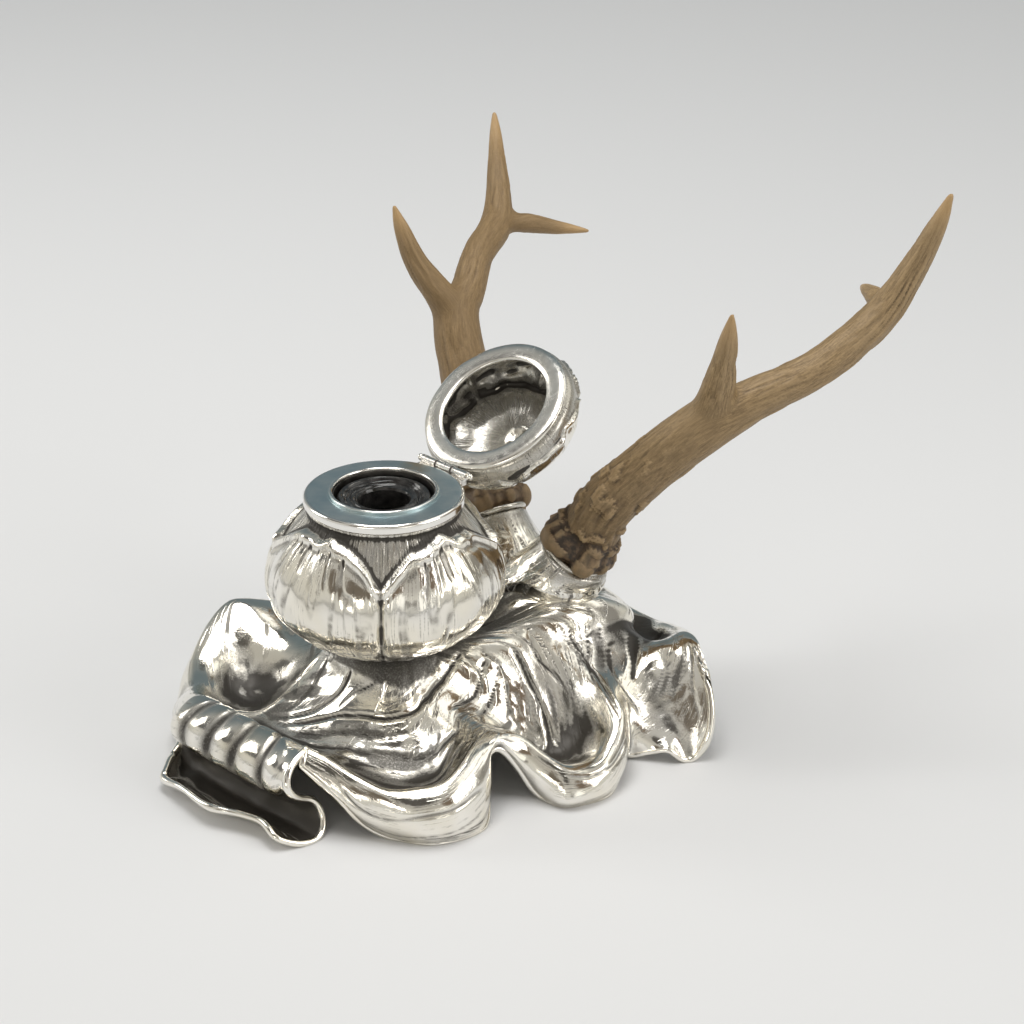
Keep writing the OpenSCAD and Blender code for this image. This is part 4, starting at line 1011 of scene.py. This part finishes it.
def make_socket_lip(name, side):
    """The rolled lip round a socket, a little uneven, with one small curl outwards."""
    columns, rows = 120, 20
    across, round_, up = socket_axes(side)
    angle, roll = full_turn(columns), full_turn(rows).T
    thick = 1.35 + 0.25 * (noise(angle / (2 * math.pi) * 14, 0, 71 + side, 14) - 0.5)
    curl = 1.1 * swell(((angle - 2.2) % (2 * math.pi)) / 0.35)
    radius = 14.0 + curl + thick * np.cos(roll)
    height = 1.35 - 0.8 * curl + thick * np.sin(roll) + 0 * angle
    out = np.cos(angle)[..., None] * across + np.sin(angle)[..., None] * round_
    points = socket_centre(side) + radius[..., None] * out + height[..., None] * up
    piece = make_piece(name, points.reshape(-1, 3), wrap_quads(columns, rows, True, True))
    store_hollows(piece.data, 4)
    mark(piece.data, np.zeros((columns * rows, 3)), np.zeros(columns * rows))
    return piece


# ---- materials ----

class Look:
    """A material's or a world's nodes, added one by one. An input is a number or another node's output."""

    def __init__(self, owner):
        owner.use_nodes = True
        self.owner, self.tree = owner, owner.node_tree
        self.shader = self.tree.nodes.get("Principled BSDF")

    def node(self, kind, values, **settings):
        made = self.tree.nodes.new("ShaderNode" + kind)
        for key, value in settings.items():
            setattr(made, key, value)
        for key, value in values.items():
            if isinstance(value, bpy.types.NodeSocket):
                self.tree.links.new(value, made.inputs[key])
            else:
                made.inputs[key].default_value = value
        return made

    def connect(self, **inputs):
        """Links outputs to the shader's inputs, whose names have a _ for each space."""
        for key, value in inputs.items():
            self.tree.links.new(value, self.shader.inputs[key.replace("_", " ")])

    def attribute(self, name, output="Fac"):
        return self.node("Attribute", {}, attribute_name=name).outputs[output]

    def coordinate(self, output):
        return self.node("TexCoord", {}).outputs[output]

    def vector(self, operation, values, output=0):
        return self.node("VectorMath", values, operation=operation).outputs[output]

    def place(self):
        """The piece's own coordinates in millimetres."""
        return self.vector("SCALE", {0: self.coordinate("Object"), "Scale": 1000.0})

    def part(self, vector, axis):
        return self.node("SeparateXYZ", {0: vector}).outputs[axis]

    def blotches(self, vector, scale, detail=3.0, roughness=0.55):
        values = {"Vector": vector, "Scale": scale, "Detail": detail, "Roughness": roughness}
        return self.node("TexNoise", values).outputs["Fac"]

    def remap(self, value, low, high, to_low=0.0, to_high=1.0):
        values = {"Value": value, "From Min": low, "From Max": high, "To Min": to_low, "To Max": to_high}
        return self.node("MapRange", values).outputs[0]

    def eased(self, value, low, high):
        values = {"Value": value, "From Min": low, "From Max": high}
        return self.node("MapRange", values, interpolation_type="SMOOTHSTEP").outputs[0]

    def math(self, operation, a, b=0.0):
        return self.node("Math", {0: a, 1: b}, operation=operation).outputs[0]

    def times(self, a, b):
        return self.math("MULTIPLY", a, b)

    def most(self, a, b):
        return self.math("MAXIMUM", a, b)

    def mixed(self, factor, a, b):
        """A blend of two colours, each an output or (red, green, blue)."""
        a, b = ((*c, 1) if isinstance(c, tuple) else c for c in (a, b))
        return self.node("Mix", {0: factor, 6: a, 7: b}, data_type="RGBA").outputs[2]

    def bumped(self, height, strength, distance, normal=None):
        values = {"Height": height, "Strength": strength, "Distance": distance}
        if normal is not None:
            values["Normal"] = normal
        return self.node("Bump", values).outputs[0]


def new_material(name):
    return Look(bpy.data.materials.new(name))


BRIGHT_SILVER, YELLOWED_SILVER, OXIDE_AND_SHADE = (0.93, 0.905, 0.85), (0.88, 0.84, 0.74), (0.045, 0.040, 0.034)


def chased_silver():
    """Silver with oxide left in the hollows, and fine chased lines that follow the folds. The same dark
    colour also paints shade: under and round the bowl, in the base's wide dips and along the fold inside
    the lid.
    """
    m = new_material("chased_silver")
    hollow = m.attribute("hollow")
    flow = m.attribute("flow", "Vector")
    live = m.part(flow, 2)
    place = m.place()
    lines_at = m.vector("MULTIPLY", {0: flow, 1: (1.3, 0.4, 0.0)})
    dots_at = m.vector("MULTIPLY", {0: flow, 1: (1.3, 11.0, 0.0)})
    lines = m.remap(m.blotches(lines_at, 1.0, 1.0, 0.5), 0.55, 0.60)
    dots = m.remap(m.blotches(dots_at, 1.0, 0.0, 0.5), 0.42, 0.55, 0.35, 1.0)
    where = m.remap(m.blotches(place, 0.09, 2.0), 0.42, 0.52)
    stroke = m.times(m.times(m.times(lines, dots), where), live)
    grain = m.blotches(place, 1.6, 4.0, 0.7)
    stain = m.blotches(place, 0.05, 2.0)
    depth = m.math("ADD", hollow, m.remap(grain, 0.3, 0.7, -0.07, 0.07))
    oxide_and_shade = m.remap(depth, 0.06, 0.42)
    ink = m.times(m.attribute("ink"), m.remap(grain, 0.25, 0.5, 0.6, 1.0))
    # the stored ink brings painted shade in with the oxide and chased lines
    oxide_and_shade = m.most(m.most(oxide_and_shade, ink), m.times(stroke, 0.85))
    bright = m.mixed(m.remap(stain, 0.35, 0.65), BRIGHT_SILVER, YELLOWED_SILVER)
    m.connect(Base_Color=m.mixed(oxide_and_shade, bright, OXIDE_AND_SHADE))
    m.connect(Metallic=m.remap(oxide_and_shade, 0.2, 1.0, 1.0, 0.35))
    polish = m.remap(m.blotches(place, 0.35, 3.0), 0.3, 0.7, 0.05, 0.12)
    m.connect(Roughness=m.math("ADD", polish, m.times(oxide_and_shade, 0.35)))
    normal = m.bumped(m.times(stroke, -1.0), 0.3, 0.0003)
    normal = m.bumped(m.blotches(place, 0.16, 1.5), 0.10, 0.0012, normal)
    normal = m.bumped(m.blotches(place, 0.8, 3.0), 0.16, 0.00022, normal)
    m.connect(Normal=m.bumped(grain, 0.10, 0.0001, normal))
    return m.owner


def plain_metal(name, color, dark, roughness, bump=0.08, stain_scale=0.12):
    """Worked metal with faint stains and fine uneven polish."""
    m = new_material(name)
    m.shader.inputs["Metallic"].default_value = 1.0
    place = m.place()
    stain = m.blotches(place, stain_scale, 3.0)
    m.connect(Base_Color=m.mixed(m.remap(stain, 0.42, 0.72), color, dark))
    polish = m.blotches(place, 0.5)
    m.connect(Roughness=m.remap(polish, 0.3, 0.7, roughness * 0.7, roughness * 1.4))
    normal = m.bumped(m.blotches(place, 0.4), bump, 0.0004)
    m.connect(Normal=m.bumped(m.blotches(place, 3.0), bump, 0.00006, normal))
    return m.owner


def collar_silver():
    """Satin silver that has gone blue-grey, bright at its edges, with a golden stain near the hinge."""
    m = new_material("collar_silver")
    m.shader.inputs["Metallic"].default_value = 1.0
    place = m.place()
    spots = m.blotches(place, 0.09, 4.0)
    base = m.mixed(m.remap(spots, 0.35, 0.7), (0.47, 0.57, 0.60), (0.68, 0.72, 0.71))
    stain_at = np.array([-9.0, 26.0, 116.0]) - MIDDLE
    gap = m.vector("DISTANCE", {0: place, 1: tuple(stain_at)}, "Value")
    gold = m.times(m.remap(gap, 8.0, 4.0), m.remap(spots, 0.35, 0.6, 0.3, 0.9))
    base = m.mixed(gold, base, (0.55, 0.42, 0.25))
    from_axis = m.vector("SUBTRACT", {0: place, 1: tuple(-MIDDLE * [1, 1, 0])})
    flat = m.vector("MULTIPLY", {0: from_axis, 1: (1.0, 1.0, 0.0)})
    radius = m.vector("LENGTH", {0: flat}, "Value")
    edge = m.most(m.remap(radius, 30.9, 31.3), m.remap(radius, 22.1, 21.8))
    m.connect(Base_Color=m.mixed(edge, base, (0.92, 0.90, 0.86)))
    m.connect(Roughness=m.remap(edge, 0.0, 1.0, 0.34, 0.12))
    m.connect(Normal=m.bumped(m.blotches(place, 1.8, 4.0), 0.12, 0.0001))
    return m.owner


def antler_material():
    """Brown horn: grey-brown and rough at the burr, dark in its grooves, amber and smooth at the tips."""
    m = new_material("antler")
    place = m.place()
    flow = m.attribute("flow", "Vector")
    grain_at = m.vector("MULTIPLY", {0: flow, 1: (1.0, 0.9, 0.0)})
    grain = m.blotches(grain_at, 1.7, 5.0, 0.75)
    patches = m.blotches(place, 0.06, 3.0)
    base = m.mixed(m.remap(grain, 0.34, 0.66), (0.130, 0.080, 0.034), (0.37, 0.255, 0.125))
    base = m.mixed(m.remap(patches, 0.35, 0.7, 0.0, 0.55), base, (0.235, 0.160, 0.078))
    rough = m.remap(m.blotches(place, 0.45, 4.0), 0.4, 0.62)
    rough = m.mixed(rough, (0.026, 0.018, 0.012), (0.125, 0.078, 0.042))
    base = m.mixed(m.attribute("burr"), base, rough)
    base = m.mixed(m.remap(m.attribute("hollow"), 0.02, 0.32, 0.0, 0.85), base, (0.045, 0.027, 0.014))
    base = m.mixed(m.remap(m.attribute("hollow"), -0.05, -0.3, 0.0, 0.4), base, (0.52, 0.37, 0.20))
    browner_left = m.remap(m.part(place, 0), 30.0, -30.0, 0.0, 0.42)
    base = m.mixed(browner_left, base, (0.150, 0.085, 0.026))
    tip = m.attribute("tip")
    horn = m.mixed(m.remap(grain, 0.3, 0.7), (0.34, 0.205, 0.08), (0.50, 0.34, 0.17))
    m.connect(Base_Color=m.mixed(tip, base, horn))
    m.connect(Roughness=m.remap(tip, 0.0, 1.0, 0.55, 0.28))
    normal = m.bumped(grain, 0.5, 0.0004)
    m.connect(Normal=m.bumped(m.blotches(place, 1.4, 3.0), 0.25, 0.0002, normal))
    return m.owner


# How far from the hinge's middle the seams between its knuckles lie
SEAM = 4.45


def hinge_silver():
    """Silver knuckles, dark in the seams between them."""
    m = new_material("hinge_silver")
    place = m.place()
    side = m.math("ABSOLUTE", m.math("SUBTRACT", m.part(place, 0), -MIDDLE[0]))
    seam = m.remap(m.math("ABSOLUTE", m.math("SUBTRACT", side, SEAM)), 0.75, 0.45)
    stain = m.remap(m.blotches(place, 0.4), 0.4, 0.7, 0.0, 0.5)
    dark = m.most(seam, stain)
    m.connect(Base_Color=m.mixed(dark, (0.90, 0.88, 0.84), (0.10, 0.085, 0.07)))
    m.connect(Metallic=m.remap(dark, 0.2, 1.0, 1.0, 0.4))
    m.connect(Roughness=m.remap(dark, 0.0, 1.0, 0.16, 0.5))
    m.connect(Normal=m.bumped(m.blotches(place, 1.5, 3.0), 0.15, 0.0002))
    return m.owner


def cork_material():
    m = new_material("cork")
    place = m.place()
    cells = m.node("TexVoronoi", {"Vector": place, "Scale": 0.8}).outputs["Distance"]
    m.connect(Base_Color=m.mixed(m.remap(cells, 0.1, 0.6), (0.62, 0.43, 0.25), (0.30, 0.18, 0.09)))
    m.shader.inputs["Roughness"].default_value = 0.85
    m.connect(Normal=m.bumped(cells, 0.4, 0.0003))
    return m.owner


def glass_material():
    """Glass that is grey with old ink, with faint rings from its mould."""
    m = new_material("ink_glass")
    place = m.place()
    m.shader.inputs["Transmission Weight"].default_value = 0.55
    m.shader.inputs["IOR"].default_value = 1.5
    film = m.blotches(place, 0.2, 3.0)
    m.connect(Base_Color=m.mixed(m.remap(film, 0.4, 0.7), (0.030, 0.030, 0.030), (0.10, 0.095, 0.09)))
    m.connect(Roughness=m.remap(film, 0.3, 0.7, 0.02, 0.10))
    from_axis = m.vector("ADD", {0: place, 1: tuple(MIDDLE * [1, 1, 0])})
    values = {"Vector": from_axis, "Scale": 0.11, "Distortion": 3.0, "Detail": 1.0, "Detail Scale": 0.4}
    rings = m.node("TexWave", values, wave_type="RINGS", rings_direction="Z")
    m.connect(Normal=m.bumped(rings.outputs["Fac"], 0.5, 0.0012))
    return m.owner


def paint_cad_nodes(silver):
    """Materials for the CAD nodes that stay as they are."""
    steel = plain_metal("steel", (0.50, 0.50, 0.51), (0.32, 0.31, 0.30), 0.32)
    brass = plain_metal("brass", (0.72, 0.56, 0.28), (0.40, 0.28, 0.12), 0.30)
    dull = plain_metal("dark_silver", (0.16, 0.15, 0.14), (0.07, 0.065, 0.06), 0.38)
    collar, hinge = collar_silver(), hinge_silver()
    paint = {"well_collar": collar, "well_bezel": collar, "well_sleeve": dull, "cork_pad": cork_material(),
             "glass_liner": glass_material(), "hinge_leaf_fixed": hinge, "hinge_leaf_lid": hinge}
    for name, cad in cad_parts.items():
        if name.endswith(("stud", "washer", "screw")):
            material = steel
        elif name.endswith("nut"):
            material = brass
        else:
            material = paint.get(name, silver)
        cad.data.materials.clear()
        cad.data.materials.append(material)


# ---- stage ----

AIM = np.array([38.7, 33.9, 108.7])
DISTANCE, AZIMUTH, ELEVATION = 1140.0, 45, 25
FLOOR_SIZE = 6.0


def towards(azimuth, elevation):
    """The direction to something, by degrees round from the front and degrees up."""
    azimuth, elevation = math.radians(azimuth), math.radians(elevation)
    return (math.sin(azimuth) * math.cos(elevation), -math.cos(azimuth) * math.cos(elevation),
            math.sin(elevation))


def in_row(point):
    return Vector((np.asarray(point) - MIDDLE) * MM)


def link_new(name, data):
    holder = bpy.data.objects.new(name, data)
    bpy.context.scene.collection.objects.link(holder)
    return holder


def set_camera():
    camera = bpy.data.cameras.new("camera")
    camera.lens, camera.sensor_width = 100, 36
    holder = link_new("camera", camera)
    back = np.array(towards(AZIMUTH, ELEVATION))
    holder.location = in_row(AIM + DISTANCE * back)
    holder.rotation_mode = "QUATERNION"
    holder.rotation_quaternion = Vector(-back).to_track_quat("-Z", "Y")
    bpy.context.scene.camera = holder


def set_floor():
    """A pale floor that gets a little paler away from the camera, where less light falls on it."""
    s = FLOOR_SIZE
    mesh = bpy.data.meshes.new("floor")
    mesh.from_pydata([(-s, -s, 0), (s, -s, 0), (s, s, 0), (-s, s, 0)], [], [(0, 1, 2, 3)])
    floor = link_new("floor", mesh)
    m = new_material("floor")
    turn = math.radians(AZIMUTH)
    away = (-math.sin(turn), math.cos(turn), 0)
    back = m.vector("DOT_PRODUCT", {0: m.coordinate("Object"), 1: away}, "Value")
    far = m.eased(back, -0.2, 1.6)
    m.connect(Base_Color=m.mixed(far, (0.71, 0.715, 0.73), (0.85, 0.865, 0.90)))
    m.shader.inputs["Roughness"].default_value = 0.7
    m.shader.inputs["Specular IOR Level"].default_value = 0.2
    mesh.materials.append(m.owner)


# Parts of the studio that differ from its pale walls: azimuth from the front, elevation, width in
# degrees, how much of that is solid, strength and colour
STUDIO = ((225, 30, 62, 0.2, 0.95, (0.13, 0.17, 0.19)), (10, 30, 17, 0.7, 0.85, (0.10, 0.075, 0.05)),
          (95, 38, 16, 0.7, 0.85, (0.13, 0.085, 0.05)), (150, 14, 18, 0.6, 0.7, (0.10, 0.09, 0.08)),
          (310, 44, 18, 0.7, 0.85, (0.08, 0.08, 0.08)), (48, 60, 16, 0.7, 0.9, (0.05, 0.045, 0.04)),
          (200, 70, 14, 0.6, 0.8, (0.07, 0.07, 0.07)), (60, 12, 9, 0.5, 0.7, (0.12, 0.11, 0.10)),
          (162, 47, 22, 0.7, 1.0, (1.3, 1.28, 1.2)), (80, 13, 15, 0.6, 0.9, (1.2, 1.18, 1.1)))
# The walls' colour from the floor up to overhead
WALLS = ((0.0, (0.50, 0.49, 0.47)), (1.0, (0.50, 0.49, 0.46)), (0.20, (0.62, 0.61, 0.57)),
         (0.45, (0.66, 0.64, 0.58)), (0.66, (0.46, 0.44, 0.40)))


def set_world():
    """A studio: pale cards all round, dark gaps between them, and a blue-grey wall in shade behind."""
    world = bpy.data.worlds.new("studio")
    bpy.context.scene.world = world
    m = Look(world)
    direction = m.coordinate("Generated")
    ramp = m.node("ValToRGB", {0: m.remap(m.part(direction, 2), -0.2, 1.0)})
    stops = ramp.color_ramp.elements
    for n, (position, color) in enumerate(WALLS):
        stop = stops[n] if n < 2 else stops.new(position)
        stop.position, stop.color = position, (*color, 1)
    sky = ramp.outputs[0]
    for azimuth, elevation, wide, solid, strength, color in STUDIO:
        dot = m.vector("DOT_PRODUCT", {0: direction, 1: towards(azimuth, elevation)}, "Value")
        part = m.eased(dot, math.cos(math.radians(wide)), math.cos(math.radians(wide * solid)))
        sky = m.mixed(m.times(part, strength), sky, color)
    background = m.tree.nodes["Background"]
    m.tree.links.new(sky, background.inputs["Color"])
    background.inputs["Strength"].default_value = 1.0


# Softboxes, in metres and watts: name, place, what it is aimed at, size, power and colour
LIGHTS = (("top_softbox", (-0.05, -0.05, 1.3), (0, 0, 0), (0.85, 0.6), 9.0, (1, 0.99, 0.965)),
          ("left_softbox", (-1.2, -0.6, 0.8), (0, 0, 0.05), (0.42, 0.8), 4.6, (1, 0.98, 0.94)),
          ("right_softbox", (1.1, 0.5, 0.75), (0, 0, 0.05), (0.6, 0.8), 4.6, (1, 0.985, 0.96)),
          ("front_card", (0.5, -1.3, 0.45), (0, 0, 0.05), (0.5, 0.25), 1.3, (1, 0.97, 0.90)))


def set_lights():
    for name, place, aim, size, power, color in LIGHTS:
        light = bpy.data.lights.new(name, "AREA")
        light.shape, light.size, light.size_y = "RECTANGLE", *size
        light.energy, light.color = power, color
        holder = link_new(name, light)
        holder.location = place
        holder.rotation_euler = (Vector(aim) - Vector(place)).to_track_quat("-Z", "Y").to_euler()


# ---- putting it together ----

def finish_piece(piece, material, body, slot, *nodes):
    piece.data.materials.clear()
    piece.data.materials.append(material)
    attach(piece, body)
    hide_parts(*nodes)


set_camera()
set_floor()
set_world()
set_lights()

silver = plain_metal("polished_silver", (0.93, 0.91, 0.87), (0.80, 0.77, 0.71), 0.12)
satin = plain_metal("satin_silver", (0.88, 0.86, 0.81), (0.76, 0.73, 0.67), 0.20, 0.04, 0.06)
chased = chased_silver()
horn = antler_material()
paint_cad_nodes(silver)

finish_piece(make_drapery(), chased, "stand", "chased_silver", "drapery_base")
finish_piece(make_bowl(), chased, "stand", "chased_silver", "bowl_shell")
finish_piece(make_lid(), chased, "lid", "chased_silver", "lid_dome")
finish_piece(make_ring(), satin, "lid", "polished_silver", "lid_ring")
finish_piece(make_antler("antler_right", 1, RIGHT_BEAM, RIGHT_BROW, RIGHT_REAR), horn, "stand", "antler",
             "right_antler")
finish_piece(make_antler("antler_left", -1, LEFT_BEAM, LEFT_BROW, LEFT_REAR), horn, "stand", "antler",
             "left_antler")
for side, word in ((-1, "left"), (1, "right")):
    finish_piece(make_socket_lip(word + "_socket_lip", side), chased, "stand", "polished_silver",
                 word + "_socket_rim")

bpy.context.scene.view_settings.view_transform = "Standard"
